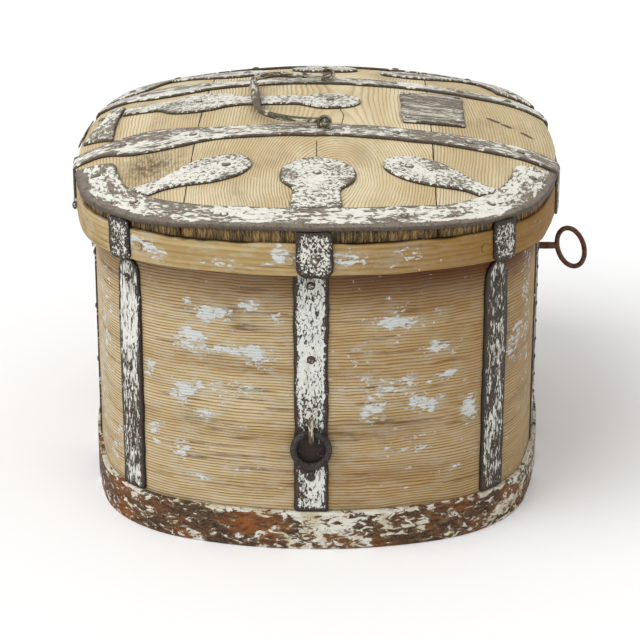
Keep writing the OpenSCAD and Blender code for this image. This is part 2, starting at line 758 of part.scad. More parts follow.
module edge_plate() {
    color(painted_iron) lid_plate() intersection() {
        difference() { plan(lid, -1); plan(lid, -1 - end_band_width); }
        translate([-lid_half[0] - 5, edge_plate_ends[0]])
            square([60, edge_plate_ends[1] - edge_plate_ends[0]]);
    }
}
module middle_strap() {
    root = -half_width(lid, 0) + end_band_width + edge_plate_gap;
    mid = middle_lobes[0];
    end = middle_lobes[1];
    color(painted_iron) lid_plate() union() {
        polygon([[root, middle_root[0]], [mid[0], mid[1] - middle_width[0]],
            [end[0], end[1] - middle_width[1]], [end[0], end[1] + middle_width[1]],
            [mid[0], mid[1] + middle_width[0]], [root, middle_root[1]]]);
        for (m = middle_lobes) translate([m[0], m[1]])
            polygon([for (t = [0 : 15 : 345]) [m[2] * cos(t), m[3] * sin(t)]]);
    }
}

// A cross strap: over the lid, down its front edge, and down its back edge into the hinge
module cross_strap(k) {
    outer = seat_gap + strap_thickness;
    back = strap_y(k, -1);
    front = strap_y(k, 1);
    slant = cross_strap_slant[k];
    back_end = hinge_z + knuckle_radius + knuckle_gap;
    tongue = middle_knuckle - 3 * knuckle_gap;
    color(painted_iron) difference() {
        union() {
            intersection() {
                dome_skin(seat_gap, outer);
                block(lid, outer, hoop_top, crown + 5);
                translate([0, cross_strap_y[k], hoop_top]) rotate([0, 0, slant])
                    linear_extrude(crown) union() {
                        square([3 * lid_half[0], strap_width], center = true);
                        translate([-swell_place, 0])
                            polygon(leaf_points(swell_size[0], swell_size[1]));
                    }
            }
            intersection() {
                ring_wall(lid, seat_gap, outer, hoop_foot, crown);
                dome_solid(outer);
                union() {
                    translate([0, front - strap_width / 2, hoop_foot])
                        cube([lid_half[0] + 9, strap_width, crown]);
                    translate([-lid_half[0] - 9, back - strap_width / 2, back_end])
                        cube([lid_half[0] + 9, strap_width, crown]);
                    // The tongue that reaches down to the knuckle
                    translate([-lid_half[0] - 9, back - tongue / 2, hinge_z + 1])
                        cube([lid_half[0] + 9, tongue, crown]);
                }
            }
            along_y(back - middle_knuckle / 2 + knuckle_gap,
                back + middle_knuckle / 2 - knuckle_gap, knuckle_radius);
        }
        pin_bore(back);
        eye_hole(k);
    }
}
module cross_strap_near() { cross_strap(0); }
module cross_strap_far() { cross_strap(1); }

module patch_plate() {
    color(iron) lid_plate() polygon(patch_corners);
}

// Clips bent down from the end bands over the hoop
module clip(x, y, radius, angle, width) {
    drop = hoop_foot + clip_drop;
    cut = width / 5;
    intersection() {
        bent_strap(x, y, radius, angle, width, drop, edge_height + 4, strap_thickness);
        dome_solid(-seat_gap);
        out_of(x, y, radius - 5, angle, drop) linear_extrude(12) rotate([0, 0, 90])
            polygon([[-width / 2 + cut, 0], [-width, cut * 2], [-width, hoop_height * 2],
                [width, hoop_height * 2], [width, cut * 2], [width / 2 - cut, 0]]);
    }
}
module clips(s) {
    shift = asin(centre_shift / lid[2]);
    corner = 90 - corner_clip_angle;
    color(painted_iron) mirror([0, s < 0 ? 1 : 0, 0]) {
        clip(0, lid[0], lid[2], 90 - shift, clip_widths[0]);
        for (m = [0, 1]) mirror([m, 0, 0])
            clip(lid[5], lid[6], lid[4], corner, clip_widths[1]);
    }
}
module clips_near() { clips(-1); }
module clips_far() { clips(1); }

// Bail handle and its arched eyes, whose two legs go through strap and board
function eye_y(k) = cross_strap_y[k] + eye_place * tan(cross_strap_slant[k]);
function eye_seat(k) = dome_height(eye_place, eye_y(k)) + seat_gap + strap_thickness;
eye_z = max(eye_seat(0), eye_seat(1)) + eye_lift;
bail_z = eye_z - (eye_radius - eye_wire - bail_wire - bail_play);
bail_mid = (eye_y(0) + eye_y(1)) / 2;
module eye_hole(k) {
    for (m = [-1, 1]) translate([eye_place + m * eye_radius, eye_y(k), hoop_top])
        cylinder(h = 2 * crown_rise + board_edge, r = eye_wire + 2 * seat_gap);
}
module bail_eyes() {
    color(iron) for (k = [0, 1]) translate([eye_place, eye_y(k), eye_z]) union() {
        rotate([90, 0, 0]) rotate_extrude(angle = 180) translate([eye_radius, 0])
            circle(eye_wire, $fn = 48);
        for (m = [-1, 1]) translate([m * eye_radius, 0, -eye_lift - eye_shank])
            cylinder(h = eye_lift + eye_shank, r = eye_wire, $fn = 48);
    }
}
// The bail is drawn lying flat towards -X, with its axis at the origin. Each bend starts on
// its arm and ends inside the straight, slanted grip.
grip_line = bail_reach * cos(bail_skew);
function bend_start(r, y) = (r - grip_line - y * sin(bail_skew)) / cos(bail_skew);
module bail() {
    y = [bail_mid - bail_half, bail_mid + bail_half];
    centre = [[bend_start(bail_bends[0], -bail_half + bail_bends[0]), y[0] + bail_bends[0], 0],
        [bend_start(bail_bends[1], bail_half - bail_bends[1]), y[1] - bail_bends[1], 0]];
    side = [-cos(bail_skew), -sin(bail_skew), 0];
    grip_end = [for (i = [0, 1]) centre[i] + bail_bends[i] * side];
    grip = norm(grip_end[1] - grip_end[0]);
    thin = bail_wire + grip_step;
    stub = (eye_y(1) - eye_y(0)) / 2 - bail_half + 3 * eye_wire;
    color(iron) translate([eye_place, 0, bail_z]) rotate([0, bail_slope, 0]) union() {
        for (i = [0, 1]) {
            s = 2 * i - 1;
            rod([0, y[i], 0], [0, y[i] + s * stub, 0], bail_wire);
            translate([0, y[i] + s * stub, 0]) sphere(knob_radius, $fn = 48);
            translate([0, y[i], 0]) sphere(bail_wire, $fn = 48);
            rod([0, y[i], 0], [centre[i][0], y[i], 0], bail_wire);
            translate(centre[i]) mirror([0, 1 - i, 0]) rotate([0, 0, 90])
                rotate_extrude(angle = 90 + s * bail_skew) translate([bail_bends[i], 0])
                    circle(bail_wire, $fn = 48);
        }
        translate(grip_end[0]) rotate([-90, 0, bail_skew]) rotate_extrude()
            polygon([[0, -grip_weld], [thin, -grip_weld], [thin, grip_taper / 4],
                [grip_radius, grip_taper], [grip_radius, grip - grip_taper],
                [thin, grip - grip_taper / 4], [thin, grip + grip_weld],
                [0, grip + grip_weld]]);
    }
}

// The catch hangs from the front lid board and drops into the lock case
module lid_catch() {
    seat = board_thickness + seat_gap;
    color(iron) union() {
        intersection() {
            translate([case_mid, catch_y + catch_thickness, 0]) rotate([90, 0, 0])
                linear_extrude(catch_thickness) difference() {
                    translate([-catch_outer / 2, catch_foot])
                        square([catch_outer, crown - catch_foot]);
                    translate([-catch_inner[0] / 2, catch_foot + catch_rim])
                        square([catch_inner[0], catch_inner[1]]);
                }
            union() {
                dome_solid(-seat);
                block(body, -wall_thickness - rim_margin, 0, hoop_top - board_edge);
            }
        }
        // The plate by which it is nailed under the board
        intersection() {
            dome_skin(-seat - case_wall, -seat);
            translate([case_mid - catch_outer / 2,
                catch_y + catch_thickness / 2 - catch_plate / 2, hoop_foot])
                cube([catch_outer, catch_plate, crown]);
        }
    }
}

// Nails
module nail_head(size = nail_size) {
    r = (size[0] * size[0] + size[1] * size[1]) / (2 * size[1]);
    intersection() {
        translate([0, 0, size[1] - r]) sphere(r, $fn = 64);
        cylinder(h = size[1] + 1, r = size[0] + 1, $fn = 32);
    }
}
strap_face = 2 * seat_gap + strap_thickness;
side_face = 2 * seat_gap + side_strap_thickness;
module body_nails() {
    color(rust) {
        for (n = [0, 1]) mirror([0, n, 0]) {
            for (z = end_nails) if (n == 0 || z != end_nails[1])
                out_of(0, body[0], body[2] + strap_face, 90, z) nail_head();
            for (m = [0, 1], z = corner_nails) mirror([m, 0, 0])
                out_of(body[5], body[6], body[4] + strap_face, 90 - corner_strap_angle, z)
                    nail_head();
        }
        for (k = [0, 1], z = [strap_foot + nail_pitch / 2 : nail_pitch : side_strap_top - 4])
            out_of(body[1], 0, body[3] + side_face, side_angle(strap_y(k, 1)), z)
                nail_head(small_nail);
        for (k = [0, 1], z = [strap_foot + nail_pitch : 3 * nail_pitch : hinge_z - leaf_lean - 4])
            mirror([1, 0, 0])
                out_of(body[1], 0, body[3] + side_face, side_angle(strap_y(k, -1)), z)
                    nail_head(small_nail);
    }
}
module lid_nail(x, y) { on_dome(x, y, strap_face) nail_head(); }
module lid_nails() {
    disc_y = lid_half[1] - disc_inset;
    leaf_y = lid_half[1] - leaf_place[1];
    band_y = lid_half[1] - end_band_width / 2;
    color(rust) {
        for (s = [-1, 1]) {
            lid_nail(centre_shift, s * disc_y);
            for (x = band_nails[0]) lid_nail(x, s * (band_y - band_nails[1]));
            for (side = [-1, 1]) {
                lid_nail(centre_shift + side * (leaf_place[0] - leaf_nail[0]),
                    s * (leaf_y - leaf_nail[1]));
                for (p = arm_nails) lid_nail(side * p[0], s * (lid_half[1] - p[1]));
            }
            out_of(0, s * lid[0], lid[2] + strap_face, s * (90 - asin(centre_shift / lid[2])),
                (hoop_foot + hoop_top) / 2) nail_head();
        }
        for (k = [0, 1], x = cross_nails)
            lid_nail(x, cross_strap_y[k] + x * tan(cross_strap_slant[k]));
        for (m = middle_lobes) lid_nail(m[0], m[1]);
        for (y = edge_plate_nails) lid_nail(-half_width(lid, y) + end_band_width / 2, y);
        middle = (patch_corners[0] + patch_corners[1] + patch_corners[2] + patch_corners[3]) / 4;
        for (c = patch_corners) {
            place = middle + patch_nails * (c - middle);
            lid_nail(place[0], place[1]);
        }
    }
}

base_board();
body_wall();
foot_band();
end_strap_near();
end_strap_far();
corner_straps_near();
corner_straps_far();
front_strap_near();
front_strap_far();
hinge_leaf_near();
hinge_leaf_far();
hinge_pins();
ring_staple();
lock_case();
lock_cover();
body_nails();
lid_hoop();
lid_board_back();
lid_board_centre();
lid_board_front();
hoop_pegs();
end_band_near();
end_band_far();
disc_near();
disc_far();
leaves_near();
leaves_far();
edge_plate();
middle_strap();
cross_strap_near();
cross_strap_far();
patch_plate();
clips_near();
clips_far();
bail_eyes();
lid_catch();
lid_nails();
bail();
pull_ring();
key();
lock_bolt();
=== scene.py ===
# %% [markdown]
# This lesson dresses an old bentwood strongbox: an oval chest of pale pine, a domed lid of
# three boards, and hand-forged irons with the last of an off-white paint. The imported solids
# are the fixed frame. Every piece made here sits exactly where its solid is, in metres.

import math
from collections import defaultdict

import bmesh
import bpy
import numpy as np
from mathutils import Matrix, Vector, geometry, kdtree


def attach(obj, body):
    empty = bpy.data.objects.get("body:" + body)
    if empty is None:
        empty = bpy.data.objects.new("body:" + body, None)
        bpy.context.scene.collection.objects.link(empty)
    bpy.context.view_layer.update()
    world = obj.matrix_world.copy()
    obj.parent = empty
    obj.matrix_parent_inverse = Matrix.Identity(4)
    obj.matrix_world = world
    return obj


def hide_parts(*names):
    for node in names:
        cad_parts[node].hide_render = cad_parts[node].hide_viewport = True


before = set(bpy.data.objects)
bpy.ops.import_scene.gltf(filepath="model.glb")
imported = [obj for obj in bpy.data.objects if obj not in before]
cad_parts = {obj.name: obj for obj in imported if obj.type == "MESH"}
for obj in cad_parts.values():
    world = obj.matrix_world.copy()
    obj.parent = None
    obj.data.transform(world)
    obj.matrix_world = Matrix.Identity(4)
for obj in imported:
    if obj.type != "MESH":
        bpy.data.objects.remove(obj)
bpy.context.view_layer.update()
print("solids in the frame:", len(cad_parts))

# %% [markdown]
# The camera comes first, so that every later picture can be laid beside the photograph. It was
# found by fitting the outline of the chest: a long lens, a good stride from the near end,
# looking down by about nineteen degrees and a little to the left.

# %% Camera
def add(name, data):
    """Puts a mesh, a lamp or a camera into the scene."""
    thing = bpy.data.objects.new(name, data)
    bpy.context.collection.objects.link(thing)
    return thing

LOOKS_DOWN, LOOKS_LEFT = 19.44, 1.15
camera = add("Camera", bpy.data.cameras.new("Camera"))
camera.location = (0.03575, -1.7005, 0.6964)
camera.rotation_euler = (math.radians(90 - LOOKS_DOWN), 0, math.radians(LOOKS_LEFT))
camera.data.lens = 120.94
camera.data.clip_end = 30
bpy.context.scene.camera = camera
print("camera at", tuple(round(v, 3) for v in camera.location))

# %% [markdown]
# The world and the materials are built from nodes. These few helpers add a node, do a sum,
# mix two colours or read a value, so that each recipe below reads like a recipe rather than
# like wiring. A noise that is squeezed across the grain turns into streaks along it.

# %% Node helpers
def feed(tree, node, values):
    """Fills a node's inputs. A value may be a number, a colour or another node's output."""
    for label, value in values.items():
        if isinstance(value, bpy.types.NodeSocket):
            tree.links.new(value, node.inputs[label])
        else:
            node.inputs[label].default_value = value

def put(tree, kind, values=None, **settings):
    """Adds a node with its settings and inputs."""
    node = tree.nodes.new(kind)
    for label, setting in settings.items():
        setattr(node, label, setting)
    feed(tree, node, values or {})
    return node

def calc(tree, operation, a, b=0.0, c=None):
    """A sum with numbers."""
    values = {0: a, 1: b} if c is None else {0: a, 1: b, 2: c}
    return put(tree, "ShaderNodeMath", values, operation=operation).outputs[0]

def vector_calc(tree, operation, *values, output=0):
    """A sum with places or directions."""
    return put(tree, "ShaderNodeVectorMath", dict(enumerate(values)),
        operation=operation).outputs[output]

def fade(tree, value, low, high, to_low=0.0, to_high=1.0):
    """A smooth step from low to high."""
    return put(tree, "ShaderNodeMapRange", {
        "Value": value, "From Min": low, "From Max": high,
        "To Min": to_low, "To Max": to_high}, interpolation_type="SMOOTHSTEP").outputs[0]

# %% Colours, noise and places in nodes
def blend(tree, share, a, b):
    """A colour between a and b, by a share from 0 to 1."""
    return put(tree, "ShaderNodeMix", {0: share, 6: a, 7: b}, data_type="RGBA").outputs[2]

def lay(tree, body, *coats):
    """Lays coats over a colour, one after another. A coat is (share, colour)."""
    for share, colour in coats:
        body = blend(tree, share, body, colour)
    return body

def cloud(tree, where, scale, detail=4.0, roughness=0.55, distortion=0.0):
    """Noise about 0.5."""
    return put(tree, "ShaderNodeTexNoise", {
        "Vector": where, "Scale": scale, "Detail": detail, "Roughness": roughness,
        "Distortion": distortion}).outputs["Fac"]

def stretch(tree, where, scale):
    return put(tree, "ShaderNodeMapping", {"Vector": where, "Scale": scale}).outputs[0]

def streaks(tree, where, along, across, roughness=0.55):
    """Noise that is drawn out along X, which is the grain."""
    return cloud(tree, stretch(tree, where, (along, across, across)), 1.0, 3.0, roughness)

def axes(tree, where):
    """The X, Y and Z of a place."""
    return put(tree, "ShaderNodeSeparateXYZ", {0: where}).outputs

def place_of(tree, x, y, z):
    return put(tree, "ShaderNodeCombineXYZ", {"X": x, "Y": y, "Z": z}).outputs[0]

def written(tree, label, kind="Fac"):
    """What the mesh makers below wrote on a piece."""
    return put(tree, "ShaderNodeAttribute", attribute_name=label).outputs[kind]

def rgb(red, green, blue):
    """A colour as it looks on the screen, 0 to 255, in the numbers that shaders use."""
    def linear(v):
        v /= 255
        return v / 12.92 if v < 0.04045 else ((v + 0.055) / 1.055) ** 2.4
    return (linear(red), linear(green), linear(blue), 1.0)

print("a middle grey is", round(rgb(128, 128, 128)[0], 3), "to a shader")

# %% [markdown]
# Soft studio light: an even white world, one large lamp above the camera's left shoulder and a
# weaker one on the right. Camera rays see a plain white world, which is the photograph's ground.
# The floor is nearly white, so it melts into that ground but keeps the chest's shadow.

# %% World
WORLD_LIGHT = 0.70
scene = bpy.context.scene
scene.view_settings.view_transform = "Standard"
scene.world = bpy.data.worlds.new("Studio")
scene.world.use_nodes = True
sky = scene.world.node_tree
sky.nodes.clear()
seen = put(sky, "ShaderNodeLightPath").outputs
either = calc(sky, "MAXIMUM", seen["Is Camera Ray"], seen["Is Glossy Ray"])
level = put(sky, "ShaderNodeMapRange", {"Value": either, "To Min": WORLD_LIGHT, "To Max": 1.0})
light = put(sky, "ShaderNodeBackground", {"Color": (1, 1, 1, 1), "Strength": level.outputs[0]})
put(sky, "ShaderNodeOutputWorld", {"Surface": light.outputs[0]})
print("world:", scene.world.name)

# %% Lamps
def lamp(name, place, strength, spread):
    """A far, broad lamp that lights the whole floor alike. spread is its width in degrees."""
    lit = add(name, bpy.data.lights.new(name, "SUN"))
    lit.data.energy = strength
    lit.data.angle = math.radians(spread)
    lit.location = place
    lit.rotation_euler = (-Vector(place)).to_track_quat("-Z", "Y").to_euler()

lamp("Key", (-2.4, -1.7, 3.2), 1.60, 50)
lamp("Fill", (2.4, -2.2, 2.0), 0.12, 60)

# %% [markdown]
# What several materials share goes into a node group: a small reusable machine with named
# inputs and outputs. Each group below gives out colours, masks and heights only, and the
# shader that uses them stays in the material.

# %% Group helpers
SOCKETS = {"value": "NodeSocketFloat", "colour": "NodeSocketColor", "vector": "NodeSocketVector"}

def new_group(name, inputs, outputs):
    """An empty shader group. inputs is {name: (kind, start value)}, outputs {name: kind}."""
    tree = bpy.data.node_groups.new(name, "ShaderNodeTree")
    for label, (kind, start) in inputs.items():
        socket = tree.interface.new_socket(label, in_out="INPUT", socket_type=SOCKETS[kind])
        if start is not None:
            socket.default_value = start
    for label, kind in outputs.items():
        tree.interface.new_socket(label, in_out="OUTPUT", socket_type=SOCKETS[kind])
    return tree, put(tree, "NodeGroupInput").outputs, put(tree, "NodeGroupOutput")

def use_group(tree, group, values):
    return put(tree, "ShaderNodeGroup", values, node_tree=group).outputs

print("kinds of socket:", list(SOCKETS))

# %% [markdown]
# Pine shows two things: soft pale early wood and thin darker late wood, which come back every
# few millimetres, and fine fibres along the grain. The group takes coordinates in which X runs
# along the grain, Y across the face and Z into the wood, and cuts them with growth rings round
# an axis that lies under the face, so flat-sawn arches appear by themselves.

# %% Pine grain group
pine, pin, pout = new_group("Pine grain", {
    "Vector": ("vector", None), "Ring": ("value", 0.004), "Depth": ("value", 0.12),
    "Wander": ("value", 0.006), "Fibre": ("value", 1.0), "Uneven": ("value", 2.2)},
    {"Late wood": "value", "Fibres": "value", "Tone": "value", "Height": "value"})
in_wood = axes(pine, pin["Vector"])
drift = calc(pine, "MULTIPLY",
    calc(pine, "SUBTRACT", streaks(pine, pin["Vector"], 3.0, 14.0), 0.5),
    calc(pine, "MULTIPLY", pin["Wander"], 4.0))
wavy = calc(pine, "MULTIPLY_ADD", cloud(pine, pin["Vector"], 30.0, 2.0), 0.0036, drift)
across = calc(pine, "ADD", in_wood["Y"], wavy)
deep = calc(pine, "ADD", in_wood["Z"], pin["Depth"])
radius = calc(pine, "SQRT", calc(pine, "ADD", calc(pine, "MULTIPLY", across, across),
    calc(pine, "MULTIPLY", deep, deep)))
uneven = put(pine, "ShaderNodeTexNoise", {"W": calc(pine, "MULTIPLY", radius, 55.0),
    "Scale": 1.0, "Detail": 2.0}, noise_dimensions="1D").outputs["Fac"]
turns = calc(pine, "ADD", calc(pine, "DIVIDE", radius, pin["Ring"]),
    calc(pine, "MULTIPLY", uneven, pin["Uneven"]))
phase = calc(pine, "FRACT", turns)
# A ring darkens slowly outwards and then stops sharply
rise = fade(pine, phase, 0.42, 0.88)
fall = fade(pine, phase, 0.92, 1.0, 1.0, 0.0)
fibres = streaks(pine, pin["Vector"], 22.0, 1500.0, 0.6)
broken = fade(pine, streaks(pine, pin["Vector"], 10.0, 260.0, 0.6), 0.2, 0.62, 0.55, 1.0)
late = calc(pine, "MULTIPLY", calc(pine, "MULTIPLY", rise, fall), broken)
relief = calc(pine, "MULTIPLY", calc(pine, "SUBTRACT", fibres, 0.5), pin["Fibre"])
feed(pine, pout, {"Late wood": late, "Fibres": fibres,
    "Tone": streaks(pine, pin["Vector"], 4.0, 26.0), "Height": calc(pine, "ADD", late, relief)})
print("group:", pine.name)

# %% [markdown]
# Old paint lets go in flakes. A slow cloud says where it still holds, a finer one cuts out the
# flakes, and the wear near a piece's rim tips the balance. The mask is nearly hard-edged, as a
# flake is. Round each flake lies a thin worn film of the same paint, and the mask is also the
# paint's height for the bump.

# %% Flaking paint group
flakes, fin, fout = new_group("Flaking paint", {
    "Vector": ("vector", None), "Cover": ("value", 0.5), "Patch": ("value", 60.0),
    "Chip": ("value", 300.0), "Bite": ("value", 0.8), "Softness": ("value", 0.015)},
    {"Mask": "value", "Film": "value"})
patch = cloud(flakes, fin["Vector"], fin["Patch"], 3.0, 0.55, 0.4)
chips = cloud(flakes, fin["Vector"], fin["Chip"], 4.0, 0.65, 0.6)
mixed = calc(flakes, "MULTIPLY_ADD", calc(flakes, "SUBTRACT", chips, 0.5), fin["Bite"],
    calc(flakes, "MULTIPLY_ADD", patch, 0.6, 0.2))
# Noise keeps near 0.5, so the level that cuts it moves by about a third of the cover
EVEN_SHARE = 0.36
edge_at = calc(flakes, "MULTIPLY_ADD", calc(flakes, "SUBTRACT", 0.5, fin["Cover"]), EVEN_SHARE,
    0.5)

def flake_step(shift, softness):
    middle = calc(flakes, "SUBTRACT", edge_at, shift)
    return fade(flakes, mixed, calc(flakes, "SUBTRACT", middle, softness),
        calc(flakes, "ADD", middle, softness))

feed(flakes, fout, {"Mask": flake_step(0.0, fin["Softness"]), "Film": flake_step(0.05, 0.05)})
print("group:", flakes.name)

# %% [markdown]
# Rust and handling give old iron its colour: near black in the hollows, brown where it rusts,
# and a dull grey sheen where hands and straps rubbed it.

# %% Old iron group
HOLLOW_BLACK = (0.01, 0.008, 0.007, 1)
oxide, oin, oout = new_group("Old iron", {
    "Vector": ("vector", None), "Rust": ("value", 0.4), "Dark": ("colour", rgb(78, 68, 58)),
    "Light": ("colour", rgb(140, 128, 112)), "Brown": ("colour", rgb(104, 72, 46)),
    "Size": ("value", 120.0)},
    {"Colour": "colour", "Roughness": "value", "Height": "value"})
broad = cloud(oxide, oin["Vector"], oin["Size"], 5.0, 0.6)
grit = cloud(oxide, oin["Vector"], 900.0, 4.0, 0.65)
pits = fade(oxide, cloud(oxide, oin["Vector"], 330.0, 3.0, 0.6), 0.34, 0.5)
metal = blend(oxide, fade(oxide, grit, 0.3, 0.72), oin["Dark"], oin["Light"])
rusted = calc(oxide, "MULTIPLY", fade(oxide, broad, 0.42, 0.66), oin["Rust"])
surface = blend(oxide, rusted, metal, oin["Brown"])
feed(oxide, oout, {
    "Colour": blend(oxide, pits, blend(oxide, 0.55, surface, HOLLOW_BLACK), surface),
    "Roughness": fade(oxide, calc(oxide, "ADD", rusted, grit), 0.3, 1.1, 0.48, 0.85),
    "Height": calc(oxide, "MULTIPLY_ADD", grit, 0.35, pits)})
print("group:", oxide.name)

# %% [markdown]
# Each finish is one material. Its groups mix into the Principled shader's colour, roughness
# and bump. The mesh makers below write values on a piece for it to read: "edge" is 0 at the
# rim and grows to 1 at 10 mm inwards, and is -0.5 on the underside, so wear can follow the
# real rim of each iron. "run" is the distance along and across it, and "smear" is where paint
# or soot lies thick, or where the paint is rubbed off.

# %% Material helpers
def new_material(name):
    """A material, its nodes, its shader and the place on the object."""
    material = bpy.data.materials.new(name)
    material.use_nodes = True
    tree = material.node_tree
    tree.nodes.clear()
    shader = put(tree, "ShaderNodeBsdfPrincipled")
    put(tree, "ShaderNodeOutputMaterial", {"Surface": shader.outputs[0]})
    return material, tree, shader, put(tree, "ShaderNodeTexCoord").outputs["Object"]

def bump(tree, height, distance, strength=1.0):
    """The normals that a surface with this height on it would have."""
    return put(tree, "ShaderNodeBump", {"Height": height, "Distance": distance,
        "Strength": strength}).outputs[0]

# %% [markdown]
# Dirt gathers in corners, and shade falls there too, so corners get painted shade and dirt
# together.
# A shader can ask how much open space lies round a point, which is made for just this. Cracks and
# scars sit at places of their own, so each is drawn as a line between two points, with a little
# noise to keep it from looking ruled.

# %% Dirt and painted shade in the corners
def corner_dirt_and_shade(tree, reach, share):
    """Painted shade and dirt: 0 on open faces, up to share where two pieces meet."""
    open_sky = put(tree, "ShaderNodeAmbientOcclusion", {"Distance": reach}, samples=6).outputs["AO"]
    return fade(tree, open_sky, 0.25, 0.85, share, 0.0)

# %% Cracks and scars
SHAKE = 0.0024

def mark(tree, where, start, end, width):
    """1 on a crack or scar between two places seen from above, 0 beside it."""
    flat = vector_calc(tree, "MULTIPLY", where, (1, 1, 0))
    wobble = put(tree, "ShaderNodeTexNoise", {"Vector": where, "Scale": 160.0}).outputs["Color"]
    shaky = vector_calc(tree, "MULTIPLY_ADD", wobble, (SHAKE, SHAKE, 0),
        (-start[0] - SHAKE / 2, -start[1] - SHAKE / 2, 0))
    away = vector_calc(tree, "ADD", flat, shaky)
    way = Vector((end[0] - start[0], end[1] - start[1], 0))
    share = vector_calc(tree, "DOT_PRODUCT", away, way / way.length_squared, output="Value")
    share = calc(tree, "MAXIMUM", calc(tree, "MINIMUM", share, 1.0), 0.0)
    nearest = put(tree, "ShaderNodeVectorMath", {0: way, "Scale": share}, operation="SCALE")
    gap = vector_calc(tree, "DISTANCE", away, nearest.outputs[0], output="Value")
    return fade(tree, gap, 0.35 * width, width, 1.0, 0.0)

# %% [markdown]
# Nearly all the irons were painted once. The paint is lost first at the rim, then in patches,
# and chips run along the iron. One recipe makes them all, and its numbers say how much is left.

# %% Painted iron
def painted_iron(name, cover, wear=0.3, rim=0.30, bare_to=0.0, lengthwise=0.40, patch=60.0,
        chip=330.0, bite=1.15, dark=rgb(90, 81, 69), bright=rgb(150, 140, 124),
        shade=rgb(60, 50, 40), paint=rgb(229, 227, 216), haze=0.3, follows_run=True):
    """Iron under old paint. cover is how much paint is left, wear what the rim loses of it, and
    bare_to the width of an edge that is rubbed bare, in metres."""
    material, tree, shader, where = new_material(name)
    run = written(tree, "run", "Vector") if follows_run else where
    near_rim = written(tree, "edge")
    rubbed = written(tree, "smear")
    iron = use_group(tree, oxide, {"Vector": run, "Rust": 0.3, "Dark": dark, "Light": bright})
    long_run = stretch(tree, run, (lengthwise, 1, 1))
    lost = fade(tree, near_rim, 0.0, rim, wear, 0.0)
    if bare_to:
        wavy = calc(tree, "MULTIPLY_ADD", cloud(tree, run, 40.0, 3.0), 0.008, axes(tree, run)["Y"])
        lost = calc(tree, "ADD", lost, fade(tree, wavy, bare_to + 0.0015, bare_to + 0.0055,
            0.75, 0.0))
    underside = fade(tree, near_rim, -0.25, -0.03, 1.0, 0.0)
    lost = calc(tree, "ADD", lost, calc(tree, "ADD", rubbed, underside))
    broad = calc(tree, "MULTIPLY", calc(tree, "SUBTRACT", cloud(tree, run, 17.0, 2.0), 0.5), 1.1)
    held = use_group(tree, flakes, {"Vector": long_run, "Patch": patch, "Chip": chip,
        "Bite": bite, "Cover": calc(tree, "SUBTRACT", calc(tree, "ADD", broad, cover), lost)})
    metal = lay(tree, iron["Colour"],
        # Darker towards the rim and on the sides: partly rust, partly painted shade along the
        # iron's edges
        (fade(tree, near_rim, 0.0, 0.26, 0.75, 0.0), shade),
        (calc(tree, "MULTIPLY", held["Film"], haze), rgb(186, 178, 160)),
        (fade(tree, rubbed, 0.2, 0.8, 0.0, 0.8), rgb(36, 20, 12)))
    dirty = fade(tree, cloud(tree, long_run, 240.0, 5.0, 0.65), 0.48, 0.74)
    coat = blend(tree, calc(tree, "MULTIPLY", dirty, 0.6), paint, rgb(178, 172, 154))
    height = calc(tree, "MULTIPLY_ADD", iron["Height"], 0.4, held["Mask"])
    feed(tree, shader, {"Base Color": blend(tree, held["Mask"], metal, coat),
        "Roughness": fade(tree, held["Mask"], 0, 1, 0.6, 0.78), "Specular IOR Level": 0.35,
        "Normal": bump(tree, height, 0.0005, 0.8)})
    return material

# %% The painted irons
DARKER = {"dark": rgb(30, 25, 19), "bright": rgb(74, 64, 52)}
DARKEST = {**DARKER, "shade": rgb(24, 19, 15), "haze": 0.12}
near_band_paint = painted_iron("Near band paint", 0.52, bare_to=0.0055)
band_paint = painted_iron("Band paint", 0.52, wear=0.35)
edge_plate_paint = painted_iron("Edge plate paint", 0.40, wear=0.2)
lobe_paint = painted_iron("Lobe paint", 0.63, rim=0.20, lengthwise=0.75, chip=400.0, bite=1.4)
cross_paint = painted_iron("Cross strap paint", 0.52, wear=0.34)
strap_paint = painted_iron("Strap paint", 0.40, wear=0.9, rim=0.50, lengthwise=0.25, chip=620.0,
    bite=1.9, paint=rgb(214, 214, 206), **DARKEST)
end_paint = painted_iron("End strap paint", 0.80, wear=1.35, rim=0.46, lengthwise=0.5,
    chip=640.0, bite=1.5, paint=rgb(214, 216, 210), **DARKEST)
clip_paint = painted_iron("Clip paint", 0.46, wear=0.7, rim=0.5, lengthwise=0.8, chip=620.0,
    bite=1.6, paint=rgb(218, 217, 208), **DARKEST)
patch_paint = painted_iron("Patch plate paint", 0.24, wear=0.1, lengthwise=0.22, chip=420.0,
    bite=1.6, dark=rgb(58, 51, 42), bright=rgb(138, 128, 110), paint=rgb(212, 206, 190))
side_paint = painted_iron("Side strap paint", 0.26, haze=0.12, **DARKER)
bail_paint = painted_iron("Bail paint", 0.30, wear=0.0, lengthwise=0.25, patch=90.0,
    dark=rgb(50, 42, 30), bright=rgb(106, 96, 76), paint=rgb(206, 200, 176))
nail_paint = painted_iron("Nail paint", 0.58, wear=0.9, rim=0.7, follows_run=False, chip=500.0)
wall_nail_paint = painted_iron("Wall nail paint", 0.30, wear=0.6, rim=0.7, follows_run=False,
    chip=600.0, paint=rgb(190, 184, 168), **DARKER)
hinge_paint = painted_iron("Hinge paint", 0.3, wear=0.0, follows_run=False, **DARKER)
print("painted irons:", [m.name for m in bpy.data.materials if "paint" in m.name.lower()])

# %% [markdown]
# The foot band stood in the damp: its iron is rusted through to orange and brown, with scabs
# of cream paint. The bare irons are dark, with a low sheen on their high spots.

